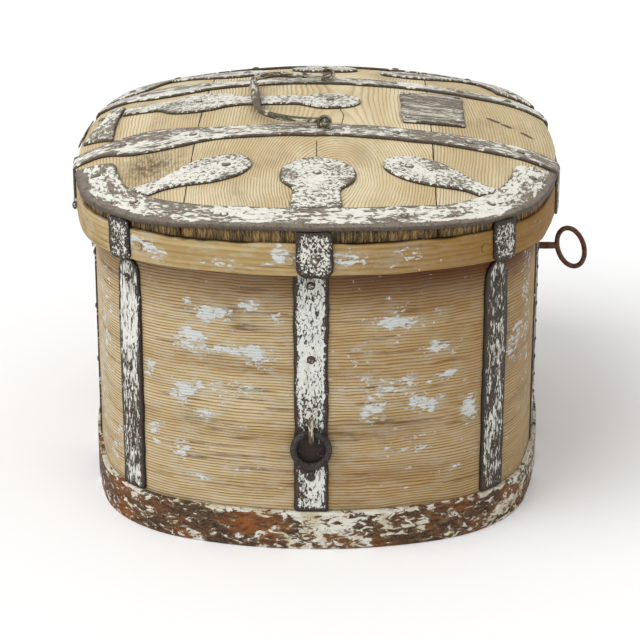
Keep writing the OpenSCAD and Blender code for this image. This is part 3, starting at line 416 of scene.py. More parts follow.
# %% Rusty foot band
foot_iron, tree, shader, where = new_material("Foot band rust")
level = stretch(tree, where, (0.5, 0.5, 1.1))
iron = use_group(tree, oxide, {"Vector": level, "Rust": 0.9, "Dark": rgb(40, 29, 20),
    "Light": rgb(98, 74, 52), "Brown": rgb(134, 78, 34), "Size": 36.0})
lip = fade(tree, axes(tree, where)["Z"], 0.0262, 0.0290, 0.0, 0.35)
held = use_group(tree, flakes, {"Vector": level, "Patch": 28.0, "Chip": 230.0, "Bite": 0.95,
    "Cover": calc(tree, "ADD", lip, 0.31)})
ochre = fade(tree, cloud(tree, where, 60.0, 4.0), 0.4, 0.7)
coat = blend(tree, ochre, rgb(216, 213, 201), rgb(192, 180, 152))
film = calc(tree, "MULTIPLY", held["Film"], 0.35)
metal = blend(tree, film, iron["Colour"], rgb(168, 142, 104))
scabs = calc(tree, "MULTIPLY_ADD", held["Mask"], 0.8, calc(tree, "MULTIPLY", iron["Height"], 0.9))
feed(tree, shader, {"Base Color": blend(tree, held["Mask"], metal, coat), "Roughness": 0.8,
    "Specular IOR Level": 0.3, "Normal": bump(tree, scabs, 0.0009)})
print("finish:", foot_iron.name, "with", len(tree.nodes), "nodes")

# %% Bare irons
def bare_iron(name, rust, dark, bright, brown, metallic=0.55):
    material, tree, shader, where = new_material(name)
    iron = use_group(tree, oxide, {"Vector": where, "Rust": rust, "Dark": dark,
        "Light": bright, "Brown": brown, "Size": 90.0})
    feed(tree, shader, {"Base Color": iron["Colour"], "Roughness": iron["Roughness"],
        "Metallic": metallic, "Normal": bump(tree, iron["Height"], 0.0003, 0.8)})
    return material

forged = bare_iron("Forged iron", 0.5, rgb(66, 58, 54), rgb(128, 118, 112), rgb(104, 66, 44))
ring_iron = bare_iron("Ring iron", 0.35, rgb(22, 19, 18), rgb(84, 80, 77), rgb(60, 38, 26))
key_iron = bare_iron("Key iron", 0.8, rgb(66, 42, 32), rgb(122, 84, 62), rgb(112, 62, 38), 0.3)
dark_iron = bare_iron("Lock iron", 0.6, rgb(52, 46, 42), rgb(104, 94, 86), rgb(92, 58, 38))
print("bare irons:", [m.name for m in bpy.data.materials if m.name.endswith("iron")])

# %% [markdown]
# The wood of the bent wall and hoop has its grain lying level, round the bend. Height above the
# floor is then the distance across the grain, and the place along the wall only matters for slow
# changes, so X and Y can go in together. The rings' axis lies far below, so the lines are even.
# The last blue-white paint lies in level smears, thick where the attribute "smear" says so.

# %% Wall and hoop wood
AXIS_DROP, THIN_FILM = 0.4, 0.22

def bent_wood(name, ring, base, line, pale, line_share, smear_scale, lock_side_shade, soot_and_shade=False):
    """The last two values paint shade: the first makes the lock side browner and darker, away from
    the key lamp; the second darkens the wall under the hoop, with some dirt.
    """
    material, tree, shader, where = new_material(name)
    at = axes(tree, where)
    level = place_of(tree, calc(tree, "ADD", at["X"], at["Y"]),
        calc(tree, "ADD", at["Z"], AXIS_DROP), calc(tree, "MULTIPLY", at["X"], 0.05))
    grain = use_group(tree, pine, {"Vector": level, "Ring": ring, "Depth": 0.0,
        "Wander": 0.0026, "Fibre": 0.6, "Uneven": 1.1})
    level_smear = stretch(tree, where, (1.0, 1.0, 2.6))
    thick = written(tree, "smear")
    film = calc(tree, "MULTIPLY", calc(tree, "MULTIPLY_ADD", thick, 0.45, THIN_FILM),
        fade(tree, cloud(tree, level_smear, 60.0, 4.0, 0.65), 0.44, 0.62))
    stained = cloud(tree, stretch(tree, where, (1, 1, 2.2)), 15.0, 4.0)
    body = lay(tree, blend(tree, fade(tree, grain["Tone"], 0.35, 0.68), base, pale),
        (fade(tree, streaks(tree, level, 2.2, 46.0), 0.50, 0.72, 0.0, 0.45), line),
        (calc(tree, "MULTIPLY", grain["Late wood"], line_share), line),
        (fade(tree, grain["Fibres"], 0.3, 0.75, 0.0, 0.3), blend(tree, 0.5, line, base)),
        (fade(tree, stained, 0.52, 0.70, 0.0, 0.4), rgb(128, 112, 86)),
        (fade(tree, streaks(tree, level, 9.0, 320.0, 0.6), 0.58, 0.68, 0.0, 0.75),
            rgb(98, 70, 42)),
        # Painted shade and dirt where other pieces meet or overhang the wall
        (corner_dirt_and_shade(tree, 0.012, 0.55), rgb(92, 68, 42)),
        (film, rgb(198, 196, 180)),
        # Painted shade: browner and darker towards the lock side, away from the key lamp
        (fade(tree, at["X"], -0.06, 0.16, 0.0, lock_side_shade), rgb(128, 88, 24)))
    # Painted shade under the hoop's overhang, with some dirt, darker towards the lock side
    if soot_and_shade:
        soot_and_shade_mask = calc(tree, "MULTIPLY", fade(tree, at["Z"], 0.176, 0.214),
            fade(tree, at["X"], -0.10, 0.10, 0.50, 0.94))
        body = blend(tree, soot_and_shade_mask, body, rgb(84, 42, 2))
    held = use_group(tree, flakes, {"Vector": level_smear, "Patch": smear_scale, "Chip": 150.0,
        "Bite": 1.0, "Cover": calc(tree, "MULTIPLY_ADD", thick, 0.98, -0.12), "Softness": 0.03})
    body = blend(tree, calc(tree, "MULTIPLY", held["Mask"], 0.85), body, rgb(206, 211, 211))
    height = calc(tree, "MULTIPLY_ADD", held["Mask"], 0.5, grain["Height"])
    feed(tree, shader, {"Base Color": body, "Roughness": 0.74, "Specular IOR Level": 0.22,
        "Normal": bump(tree, height, 0.0004)})
    return material

wall_wood = bent_wood("Wall pine", 0.0023, rgb(190, 164, 118), rgb(114, 74, 32),
    rgb(208, 188, 147), 0.86, 46.0, 0.40, True)
hoop_wood = bent_wood("Hoop pine", 0.0040, rgb(178, 152, 100), rgb(128, 94, 48),
    rgb(194, 172, 124), 0.36, 40.0, 0.80)
print("bent woods:", wall_wood.name, "and", hoop_wood.name)

# %% [markdown]
# The lid boards are dry, bare pine, cut from near the middle of the log, with the grain running
# the chest's length. Each board gets its own tree: the axis of its rings lies at another place
# under the board and dips along it, which gives each its arches. Their ends are dark end grain,
# found by the board's own normals, so it stays put when the lid turns.

# %% Board wood
def board_wood(name, centre, depth, dip, ring, dive=0.0, marks=()):
    """dive is how much steeper the rings' axis dips from near end to near cross strap. A mark
    is (start, end, width)."""
    material, tree, shader, where = new_material(name)
    at = axes(tree, where)
    depth_there = calc(tree, "MULTIPLY_ADD", at["Y"], dip, calc(tree, "SUBTRACT", at["Z"], 0.28))
    steep = put(tree, "ShaderNodeMapRange", {"Value": at["Y"], "From Min": -0.215,
        "From Max": -0.080, "To Max": dive}).outputs[0]
    turned = place_of(tree, at["Y"], calc(tree, "SUBTRACT", at["X"], centre),
        calc(tree, "ADD", depth_there, steep))
    grain = use_group(tree, pine, {"Vector": turned, "Ring": ring, "Depth": depth,
        "Wander": 0.003, "Fibre": 0.7, "Uneven": 1.3})
    strong = fade(tree, cloud(tree, stretch(tree, where, (1, 0.3, 1)), 24.0, 3.0), 0.35, 0.65,
        0.30, 0.80)
    grime = fade(tree, cloud(tree, stretch(tree, where, (1, 0.4, 1)), 26.0, 5.0, 0.6), 0.5, 0.75)
    soot_and_shade = fade(tree, cloud(tree, stretch(tree, where, (2.2, 1, 1)), 130.0, 4.0, 0.65), 0.36,
        0.62, 0.25, 1.0)
    soot_and_shade_mask = calc(tree, "MULTIPLY", written(tree, "smear"), soot_and_shade)
    specks = fade(tree, cloud(tree, where, 150.0, 5.0, 0.7), 0.64, 0.70)
    body = blend(tree, fade(tree, grain["Tone"], 0.35, 0.68), rgb(206, 186, 144),
        rgb(226, 212, 176))
    body = lay(tree, body,
        (calc(tree, "MULTIPLY", grain["Late wood"], strong), rgb(164, 134, 92)),
        (calc(tree, "MULTIPLY", grime, 0.45), rgb(150, 132, 102)),
        (calc(tree, "MULTIPLY", soot_and_shade_mask, 0.75), rgb(84, 67, 46)),
        # Painted shade and dirt where the irons and the hoop meet the boards
        (corner_dirt_and_shade(tree, 0.008, 0.75), rgb(98, 66, 36)),
        (calc(tree, "MULTIPLY", specks, 0.6), rgb(222, 218, 204)))
    up = axes(tree, put(tree, "ShaderNodeTexCoord").outputs["Normal"])["Z"]
    for start, stop, width in marks:
        hollow_here = calc(tree, "MULTIPLY", mark(tree, where, start, stop, width),
            fade(tree, up, 0.0, 0.5, 0.0, 0.85))
        body = blend(tree, hollow_here, body, rgb(52, 42, 32))
    end = calc(tree, "MULTIPLY", fade(tree, up, 0.35, 0.7, 1.0, 0.0),
        fade(tree, up, -0.97, -0.85))
    bark = fade(tree, cloud(tree, stretch(tree, where, (620, 620, 80)), 1.0, 4.0, 0.7), 0.38,
        0.62)
    end_colour = blend(tree, bark, rgb(18, 12, 7), rgb(158, 124, 76))
    body = blend(tree, calc(tree, "MULTIPLY", end, 0.92), body, end_colour)
    height = calc(tree, "MULTIPLY_ADD", calc(tree, "MULTIPLY", bark, end), 1.5, grain["Height"])
    feed(tree, shader, {"Base Color": body, "Roughness": 0.78, "Specular IOR Level": 0.2,
        "Normal": bump(tree, height, 0.00045)})
    return material

# %% Wood of the three boards
CRACKS = [((0.0012, -0.106), (0.0018, -0.138), 0.0007), ((0.018, -0.022), (0.021, -0.040), 0.0006),
    ((0.021, -0.040), (0.020, -0.070), 0.0007)]
SCARS = [((0.139, -0.003), (0.145, -0.009), 0.0042), ((0.150, -0.014), (0.154, -0.018), 0.0038),
    ((0.165, -0.026), (0.170, -0.030), 0.0040)]
back_wood = board_wood("Back board pine", -0.215, 0.080, 0.03, 0.0022)
centre_wood = board_wood("Centre board pine", 0.018, 0.006, 0.02, 0.0021, 0.036, CRACKS)
front_wood = board_wood("Front board pine", 0.205, 0.070, -0.04, 0.0022, marks=SCARS)
print("woods:", [m.name for m in bpy.data.materials if "pine" in m.name])

# %% [markdown]
# The chest is an oval in plan: a bowed end, a bowed side and a round corner that meet without a
# kink. Written as nine arcs, a point anywhere round it needs one number: the distance walked
# from the middle of the near end, round by the lock side. A second number steps out from it.

# %% The oval
BODY_END, LID_END = 0.2395, 0.2569

def oval(half_width, half_length, end, side, corner):
    """Nine arcs, each (centre x, centre y, radius, from, to), from the radii of end, side and
    corner, and where on the walk each arc starts."""
    ay, bx = half_length - end, half_width - side
    ra, rb = end - corner, side - corner
    d = math.hypot(bx, ay)
    a = (ra * ra - rb * rb + d * d) / (2 * d)
    h = math.sqrt(ra * ra - a * a)
    ex, ey = bx / d, -ay / d
    both = [(a * ex + s * h * ey, ay + a * ey - s * h * ex) for s in (1, -1)]
    cx, cy = max(both, key=lambda c: c[1])
    e, f = math.atan2(cy - ay, cx), math.atan2(cy, cx - bx)
    half, full = math.pi / 2, math.pi
    arcs = [(0, -ay, end, -half, -e), (cx, -cy, corner, -e, -f), (bx, 0, side, -f, f),
        (cx, cy, corner, f, e), (0, ay, end, e, full - e), (-cx, cy, corner, full - e, full - f),
        (-bx, 0, side, full - f, full + f), (-cx, -cy, corner, full + f, full + e),
        (0, -ay, end, full + e, 1.5 * full)]
    arcs = np.array(arcs)
    starts = np.concatenate([[0], np.cumsum(arcs[:, 2] * (arcs[:, 4] - arcs[:, 3]))])
    return {"arcs": arcs, "starts": starts, "round": starts[-1]}

body_rim = oval(half_width=0.1795, half_length=BODY_END, end=0.261, side=0.620, corner=0.110)
lid_rim = oval(half_width=0.193, half_length=LID_END, end=0.2784, side=0.6335, corner=0.12545)
print("round the body", round(float(body_rim["round"]), 3), "m")

# %% The walk round it
def walk(rim, s, out=0.0):
    """x, y and the outward direction at distance s along the rim, a step out from it."""
    s = np.asarray(s, float) % rim["round"]
    i = np.clip(np.searchsorted(rim["starts"], s, side="right") - 1, 0, 8)
    cx, cy, r, a0 = (rim["arcs"][i, k] for k in range(4))
    angle = a0 + (s - rim["starts"][i]) / r
    nx, ny = np.cos(angle), np.sin(angle)
    return cx + (r + out) * nx, cy + (r + out) * ny, nx, ny

def walk_to(rim, x, y):
    """The distance along the rim that is nearest to a point."""
    s = np.linspace(0, rim["round"], 8000, endpoint=False)
    px, py, _, _ = walk(rim, s)
    return float(s[np.argmin((px - x) ** 2 + (py - y) ** 2)])

def half_width_at(rim, y):
    bx, r = rim["arcs"][2, 0], rim["arcs"][2, 2]
    return bx + np.sqrt(r * r - np.asarray(y) ** 2)

def on_corner(rim, degrees):
    """A place on the far front corner, by its angle from straight ahead."""
    cx, cy, r, _, _ = rim["arcs"][3]
    turn = math.radians(90 - degrees)
    return cx + r * math.cos(turn), cy + r * math.sin(turn)

print("half the lid's width:", round(float(half_width_at(lid_rim, 0)), 4), "m")

# %% The lid's pillow top
HOOP_TOP, HOOP_FOOT, CROWN = 0.2433, 0.2187, 0.284
# Across the lid a broad arc meets a tighter shoulder; along it one arc drops by DROP
BROAD, SHOULDER, DROP = 0.740, 0.1122, 0.031
LENGTHWISE = (LID_END ** 2 + DROP ** 2) / (2 * DROP)
lean_x, lean_z = 76 / 365, 357 / 365
shoulder_x = (BROAD - SHOULDER) * lean_x
shoulder_z = (BROAD - SHOULDER) * lean_z - BROAD

def dome(x, y, out=0.0):
    """Height of the lid at a place, or of a skin that lies out above it."""
    x = np.abs(x)
    broad = np.sqrt((BROAD + out) ** 2 - x ** 2) - BROAD
    beyond = np.clip((SHOULDER + out) ** 2 - (x - shoulder_x) ** 2, 0, None)
    arch = np.where(x <= lean_x * (BROAD + out), broad, shoulder_z + np.sqrt(beyond))
    return CROWN - LENGTHWISE + np.sqrt((LENGTHWISE + arch) ** 2 - np.asarray(y) ** 2)

print("lid edge at", round(float(dome(0, LID_END)), 4))

# %% [markdown]
# A smith's plate has no straight line in it. It could be drawn as a curve and given a bevel,
# but then every lobe has to be drawn by hand and nothing knows how far it is from the rim. Here
# each iron is described by a rule that is positive inside its outline, so lobes and necks can
# be joined by a soft maximum and the edge roughened by a little noise. The outline is traced
# where the rule crosses zero, filled with triangles, rounded at the rim and laid on the dome
# or round the wall.

# %% Hand-made unevenness
def unevenness(u, v, size, seed):
    """Smooth noise between -1 and 1 with bumps of about the given size."""
    table = np.random.RandomState(seed).rand(64, 64) * 2 - 1
    gu, gv = np.asarray(u) / size, np.asarray(v) / size
    iu, iv = np.floor(gu).astype(int), np.floor(gv).astype(int)
    fu, fv = gu - iu, gv - iv
    fu, fv = fu * fu * (3 - 2 * fu), fv * fv * (3 - 2 * fv)
    pick = lambda a, b: table[a % 64, b % 64]
    low = pick(iu, iv) * (1 - fu) + pick(iu + 1, iv) * fu
    high = pick(iu, iv + 1) * (1 - fu) + pick(iu + 1, iv + 1) * fu
    return low * (1 - fv) + high * fv

tried = unevenness(np.linspace(0, 0.02, 5), np.zeros(5), 0.007, 1)
print("unevenness along 20 mm:", tried.round(2).tolist())

# %% Rules for outlines
def turned_back(u, v, centre, slant):
    """A place as seen from a shape's centre, along the shape and across it."""
    du, dv = u - centre[0], v - centre[1]
    c, s = math.cos(slant), math.sin(slant)
    return du * c + dv * s, -du * s + dv * c

def bar(u, v, centre, half, slant=0.0):
    """Inside a rectangle: half is its half sizes, slant in radians."""
    along, across = turned_back(u, v, centre, slant)
    a, b = half[0] - np.abs(along), half[1] - np.abs(across)
    inside = np.minimum(a, b)
    return np.where(inside < 0, -np.hypot(np.minimum(a, 0), np.minimum(b, 0)), inside)

def lobe(u, v, centre, half, slant=0.0, narrow=0.0):
    """Inside a leaf or disc. A narrow one is egg-shaped."""
    along, across = turned_back(u, v, centre, slant)
    a, b = along / half[0], across / half[1]
    b = b / (1 - narrow * np.clip(a, -1, 1))
    return (1 - np.hypot(a, b)) * min(half)

def join(a, b, soft):
    """The larger of two rules, with the corner between them filled."""
    h = np.clip(0.5 + 0.5 * (a - b) / soft, 0, 1)
    return b * (1 - h) + a * h + soft * h * (1 - h)

small_disc = lambda u, v: lobe(u, v, (0, 0), (0.028, 0.028))
print("a disc's rule at its centre:", small_disc(0, 0), "and outside:",
    round(small_disc(0.03, 0), 3))

# %% Tracing an outline
def trace(rule, box, step):
    """Closed lines where the rule is zero."""
    us = np.arange(box[0][0], box[1][0] + step, step)
    vs = np.arange(box[0][1], box[1][1] + step, step)
    grid = rule(*np.meshgrid(us, vs, indexing="ij"))
    inside = grid > 0
    code = (inside[:-1, :-1] * 1 + inside[1:, :-1] * 2 + inside[1:, 1:] * 4
        + inside[:-1, 1:] * 8)
    links, spots = defaultdict(list), {}

    def crossing(i, j, k, m):
        key = (min(i, k), min(j, m), i == k)
        if key not in spots:
            a, b = grid[i, j], grid[k, m]
            t = a / (a - b)
            spots[key] = (us[i] + (us[k] - us[i]) * t, vs[j] + (vs[m] - vs[j]) * t)
        return key

    for i, j in np.argwhere((code > 0) & (code < 15)):
        corners = [(i, j), (i + 1, j), (i + 1, j + 1), (i, j + 1)]
        cuts = [crossing(*corners[n], *corners[(n + 1) % 4]) for n in range(4)
            if inside[corners[n]] != inside[corners[(n + 1) % 4]]]
        for n in range(0, len(cuts) - 1, 2):
            links[cuts[n]].append(cuts[n + 1])
            links[cuts[n + 1]].append(cuts[n])
    loops, used = [], set()
    for start in list(links):
        if start in used:
            continue
        loop, at, before = [start], start, None
        used.add(start)
        while True:
            ahead = [k for k in links[at] if k != before and k not in used]
            if not ahead:
                break
            before, at = at, ahead[0]
            used.add(at)
            loop.append(at)
        if len(loop) > 8:
            loops.append(np.array([spots[k] for k in loop]))
    return loops

traced = trace(small_disc, ((-0.03, -0.03), (0.03, 0.03)), 0.002)
print("points round that disc:", [len(loop) for loop in traced])

# %% Even steps
def even_steps(loop, step):
    """The closed line again, in equal steps and slightly smoothed."""
    closed = np.vstack([loop, loop[:1]])
    length = np.concatenate([[0], np.cumsum(np.hypot(*np.diff(closed, axis=0).T))])
    count = max(12, int(length[-1] / step))
    at = np.linspace(0, length[-1], count, endpoint=False)
    even = np.stack([np.interp(at, length, closed[:, k]) for k in (0, 1)], axis=1)
    return (np.roll(even, 1, 0) + 2 * even + np.roll(even, -1, 0)) / 4

print("and in equal steps:", [len(even_steps(loop, 0.002)) for loop in traced])

# %% Making an object
def note(mesh, label, values):
    """Writes a number or a vector on every point, for the materials to read."""
    values = np.asarray(values, dtype=np.float32)
    kind, field = ("FLOAT", "value") if values.ndim == 1 else ("FLOAT_VECTOR", "vector")
    mesh.attributes.new(label, kind, "POINT").data.foreach_set(field, values.ravel())

def make_object(name, vertices, faces, **notes):
    mesh = bpy.data.meshes.new(name)
    mesh.from_pydata([tuple(v) for v in vertices], [], faces)
    mesh.update()
    for label, values in notes.items():
        note(mesh, label, values)
    mesh.shade_smooth()
    return add(name, mesh)

# %% Points of a plate
def plate_points(rough, box, grid, step, rounding):
    """Points along each rim, two rows close inside it, and a field of points in between.
    depth is how far inside the rim a point lies, or None in the field."""
    points, lines, depths = [], [], []
    rims = [even_steps(loop, step) for loop in trace(rough, box, step)]
    for rim in rims:
        along = np.roll(rim, -1, 0) - np.roll(rim, 1, 0)
        along /= np.hypot(*along.T)[:, None] + 1e-12
        left = np.stack([-along[:, 1], along[:, 0]], axis=1)
        probe = rough(*(rim + left * step * 0.6).T).mean()
        left = left if probe > 0 else -left
        first = len(points)
        points += list(rim)
        depths += [0.0] * len(rim)
        lines += [(first + n, first + (n + 1) % len(rim)) for n in range(len(rim))]
        for depth in (0.45 * rounding, 1.25 * rounding):
            row = rim + left * depth
            keep = rough(*row.T) > 0
            points += list(row[keep])
            depths += [depth] * int(keep.sum())
    tree = kdtree.KDTree(len(points))
    for n, p in enumerate(points):
        tree.insert((p[0], p[1], 0), n)
    tree.balance()
    us = np.arange(box[0][0], box[1][0], grid)
    vs = np.arange(box[0][1], box[1][1], grid * 0.87)
    field_u, field_v = np.meshgrid(us, vs, indexing="ij")
    field_u = field_u + (np.arange(len(vs)) % 2)[None, :] * grid / 2
    keep = rough(field_u, field_v) > grid * 0.2
    for u, v in zip(field_u[keep], field_v[keep]):
        if tree.find((u, v, 0))[2] > grid * 0.6:
            points.append((u, v))
            depths.append(None)
    return points, depths, lines, rims

# %% Filling a plate
def inside_lines(points, loops):
    """Which points lie inside closed lines: an odd number of lines is crossed on the way out."""
    crossed = np.zeros(len(points), int)
    for loop in loops:
        for (ax, ay), (bx, by) in zip(loop, np.roll(loop, -1, 0)):
            level = (ay > points[:, 1]) != (by > points[:, 1])
            reach = ax + (points[level, 1] - ay) * (bx - ax) / (by - ay)
            crossed[np.flatnonzero(level)[points[level, 0] < reach]] += 1
    return crossed % 2 == 1

def fill(points, depths, lines, rims):
    """Triangles inside the rims, the points they use, and each point's depth or -1."""
    flat, _, triangles, origin, _, _ = geometry.delaunay_2d_cdt(
        [Vector((float(p[0]), float(p[1]))) for p in points], lines, [], 0, 1e-7)
    flat = np.array([[p.x, p.y] for p in flat])
    triangles = np.array(triangles)
    triangles = triangles[inside_lines(flat[triangles].mean(axis=1), rims)]
    depth = np.array([min([depths[k] for k in o if depths[k] is not None], default=-1.0)
        for o in origin])
    return flat.T, depth, [tuple(int(k) for k in t) for t in triangles]

def close_up(triangles, size):
    """Faces of the top, the sides and the underside, whose points follow those of the top."""
    edges = dict.fromkeys((a, b) for t in triangles for a, b in zip(t, t[1:] + t[:1]))
    borders = [(a, b) for a, b in edges if (b, a) not in edges]
    faces = triangles + [(b, a, a + size, b + size) for a, b in borders]
    return faces + [tuple(k + size for k in reversed(t)) for t in triangles]

# %% A plate
def plate(name, rule, box, place, thickness, grid=0.0035, step=0.0017, ragged=0.0005,
        rounding=0.0009, hammer=0.00012, seed=1, under=None, run=None, smear=None):
    """A plate with a worn rim. place(u, v, h) is the point h above the surface under it, and
    run(u, v) the distances along and across it. under(u, v) is another underside."""
    rough = lambda u, v: (rule(u, v) + ragged * unevenness(u, v, 0.007, seed)
        + 1.4 * ragged * unevenness(u, v, 0.024, seed + 1))
    (u, v), depth, triangles = fill(*plate_points(rough, box, grid, step, rounding))
    inner = depth < 0
    depth[inner] = np.clip(rough(u[inner], v[inner]), 1.3 * rounding, None)
    inset = np.clip(depth, 0, rounding)
    drop = rounding - np.sqrt(rounding ** 2 - (rounding - inset) ** 2)
    wave = hammer * (unevenness(u, v, 0.011, seed + 2) - 1) * np.clip(depth / 0.003, 0, 1)
    top = np.stack(place(u, v, thickness - drop + wave), axis=1)
    floor = under(u, v) if under else np.stack(place(u, v, np.zeros_like(u)), axis=1)
    size = len(top)
    along, across = run(u, v) if run else (u, v)
    ways = np.stack([along + seed * 0.37, across, np.full_like(u, seed * 0.11)], axis=1)
    notes = {"edge": np.concatenate([np.clip(depth / 0.010, 0, 1), np.full(size, -0.5)]),
        "run": np.concatenate([ways, ways])}
    if smear:
        notes["smear"] = np.concatenate([smear(u, v), np.zeros(size)])
    return make_object(name, np.vstack([top, floor]), close_up(triangles, size), **notes)

# %% Placing on the dome and round the wall
SEAT = 0.00005
IRON = 0.0022

def on_lid(lift=SEAT):
    """u and v are X and Y, h steps out from the dome."""
    return lambda u, v, h: (u, v, dome(u, v, lift + h))

def round_wall(rim, start):
    """u runs along the rim from start, v is the height, h steps outwards."""
    def place(u, v, h):
        x, y, _, _ = walk(rim, start + u, SEAT + h)
        return x, y, v
    return place

def dress(piece, body, material, slot, *nodes):
    """Gives a piece its finish and body, and hides the solids that it stands for."""
    piece.data.materials.clear()
    piece.data.materials.append(material)
    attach(piece, body)
    if nodes:
        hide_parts(*nodes)

print("irons are", IRON * 1000, "mm thick and lie", SEAT * 1000, "mm above the wood")

# %% [markdown]
# The bent wall is one long thin board. It is made as a strip of rows and columns: down the
# outside, over the worn top edge, and up the inside, with small waves as a hand plane leaves
# them. The keyhole is cut afterwards. The hoop of the lid is made the same way, with chips
# out of its top edge and a notch for each hinge.

# %% Bent strips
COLUMNS, WORN_EDGE = 420, 0.0012

def bent_board(name, rim, low, high, thickness, seed, wave=0.0003, ragged=0.0, patches=(),
        chipped=()):
    """A closed band of wood round a rim. A patch of paint is (walk, height, half length, half
    height, share). A chipped place in the top edge is (walk, half length, depth)."""
    chips = lambda s: sum(depth * np.clip(1.6 - 1.6 * np.abs(s - at) / long, 0, 1)
        * (0.75 + 0.25 * unevenness(s, 0 * s, 0.006, seed + 3)) for at, long, depth in chipped)
    s = np.linspace(0, rim["round"], COLUMNS, endpoint=False)
    rows, smears, r = [], [], WORN_EDGE
    heights = np.linspace(low + r, high - r, max(5, int((high - low) / 0.007)))
    profile = [(-r, low), (-0.3 * r, low + 0.3 * r)]
    profile += [(0.0, z) for z in heights] + [(-0.3 * r, high - 0.3 * r), (-r, high)]
    profile += [(-thickness + r, high), (-thickness + 0.3 * r, high - 0.3 * r)]
    profile += [(-thickness, z) for z in heights[::-1]]
    profile += [(-thickness + 0.3 * r, low + 0.3 * r), (-thickness + r, low)]
    for out_by, z in profile:
        outside = out_by > -thickness / 2
        swell = wave * unevenness(s, np.full_like(s, z), 0.045, seed)
        swell = np.minimum(swell, 0) if outside else np.abs(swell)
        lower = ragged * (unevenness(s, 0 * s, 0.03, seed + 1) + 1) / 2
        lift = lower * np.clip(1 - (z - low) / (0.3 * (high - low)), 0, 1)
        near_top = np.clip(1 - (high - z) / (0.3 * (high - low)), 0, 1)
        x, y, _, _ = walk(rim, s, out_by + swell)
        rows.append(np.stack([x, y, z + lift - (0.6 * lower + chips(s)) * near_top], axis=1))
        smears.append(sum(share
            * np.exp(-np.abs((s - at) / long) ** 3 - np.abs((z - up) / tall) ** 3)
            for at, up, long, tall, share in patches) * outside + 0 * s)
    count, size = len(rows), len(s)
    faces = [(i * size + j, i * size + (j + 1) % size,
        ((i + 1) % count) * size + (j + 1) % size, ((i + 1) % count) * size + j)
        for i in range(count) for j in range(size)]
    return make_object(name, np.vstack(rows), faces, smear=np.clip(np.concatenate(smears), 0, 1))

# %% Prisms and cutting
def prism(name, outline, low, high, axis="X"):
    """A solid with a given outline, (y, z) for a prism along X and (x, z) for one along Y."""
    shape = bmesh.new()
    at = (lambda d, p: (d, p[0], p[1])) if axis == "X" else (lambda d, p: (p[0], d, p[1]))
    near = [shape.verts.new(at(low, p)) for p in outline]
    far = [shape.verts.new(at(high, p)) for p in outline]
    shape.faces.new(near)
    shape.faces.new(far[::-1])
    for n in range(len(near)):
        m = (n + 1) % len(near)
        shape.faces.new((near[m], near[n], far[n], far[m]))
    bmesh.ops.recalc_face_normals(shape, faces=shape.faces)
    mesh = bpy.data.meshes.new(name)
    shape.to_mesh(mesh)
    shape.free()
    return add(name, mesh)

def arc(centre, radius, angles):
    """Places on a circle, for an outline."""
    return [(centre[0] + radius * math.cos(a), centre[1] + radius * math.sin(a)) for a in angles]

def cut_away(piece, cutter):
    """Takes one solid out of another and drops the cutter."""
    cut = piece.modifiers.new("Cut", "BOOLEAN")
    cut.object = cutter
    cut.solver = "EXACT"
    bpy.context.view_layer.update()
    left = bpy.data.meshes.new_from_object(
        piece.evaluated_get(bpy.context.evaluated_depsgraph_get()))
    piece.modifiers.clear()
    piece.data = left
    bpy.data.objects.remove(cutter)

# %% Where the paint and the chips are
# The last paint on the wall, in mm: walk from the middle of the near end, height, half length,
# half height, and how thickly it still covers
WALL_PAINT = [
    (-92, 189, 6, 4, 0.7), (-73, 184, 15, 5, 0.9), (-44, 190, 10, 4, 0.9), (-76, 176, 8, 4, 0.6),
    (-23, 181, 6, 4, 0.9), (-92, 160, 13, 10, 1.0), (-59, 156, 20, 5, 0.9), (-38, 150, 12, 8, 0.8),
    (-126, 132, 6, 9, 0.8), (-96, 119, 12, 9, 1.0), (-58, 122, 28, 5, 0.8), (-76, 105, 12, 9, 0.7),
    (-98, 68, 10, 9, 0.9), (-74, 75, 9, 4, 0.6), (-124, 82, 7, 9, 0.7), (-86, 52, 14, 5, 0.5),
    (-220, 110, 26, 62, 0.45), (-185, 160, 14, 40, 0.45), (-165, 60, 20, 20, 0.4),
    (65, 177, 17, 6, 1.0), (62, 188, 8, 3, 0.7), (96, 182, 5, 4, 0.7), (61, 164, 7, 5, 0.5),
    (38, 158, 11, 4, 0.7), (99, 154, 17, 5, 0.8), (21, 154, 8, 4, 0.6), (40, 143, 14, 3, 0.7),
    (103, 133, 9, 4, 0.7), (55, 129, 42, 7, 0.55), (46, 110, 11, 10, 0.9), (86, 112, 18, 7, 0.8),
    (122, 104, 9, 12, 0.8), (175, 140, 12, 16, 0.6), (205, 160, 18, 70, 0.45),
    (70, 80, 40, 8, 0.35), (110, 60, 20, 8, 0.45), (380, 120, 90, 30, 0.4),
    (-380, 150, 60, 30, 0.4), (590, 130, 60, 40, 0.5), (720, 90, 60, 30, 0.5)]
HOOP_PAINT = [(-140, 236, 22, 5, 0.9), (-118, 229, 12, 5, 0.7), (-60, 226, 26, 4, 0.5),
    (-20, 234, 10, 8, 0.8), (22, 234, 14, 8, 0.8), (52, 228, 22, 5, 0.35), (70, 234, 12, 6, 0.5),
    (96, 226, 24, 4, 0.35), (160, 230, 30, 6, 0.4), (400, 230, 80, 8, 0.4), (640, 230, 90, 8, 0.5),
    (-420, 230, 80, 8, 0.4)]
# Chips in the hoop's top edge, in mm: walk, half length, depth
HOOP_CHIPS = [(-92, 34, 2.4), (-52, 16, 1.6), (48, 30, 1.8), (98, 14, 1.2), (-150, 14, 1.5),
    (620, 60, 1.6)]

def in_metres(places, rim, lengths):
    """Turns the walk and so many lengths after it from mm to metres."""
    return [((walked / 1000) % rim["round"], *(v / 1000 for v in rest[:lengths]), *rest[lengths:])
        for walked, *rest in places]

print("patches of paint:", len(WALL_PAINT) + len(HOOP_PAINT))

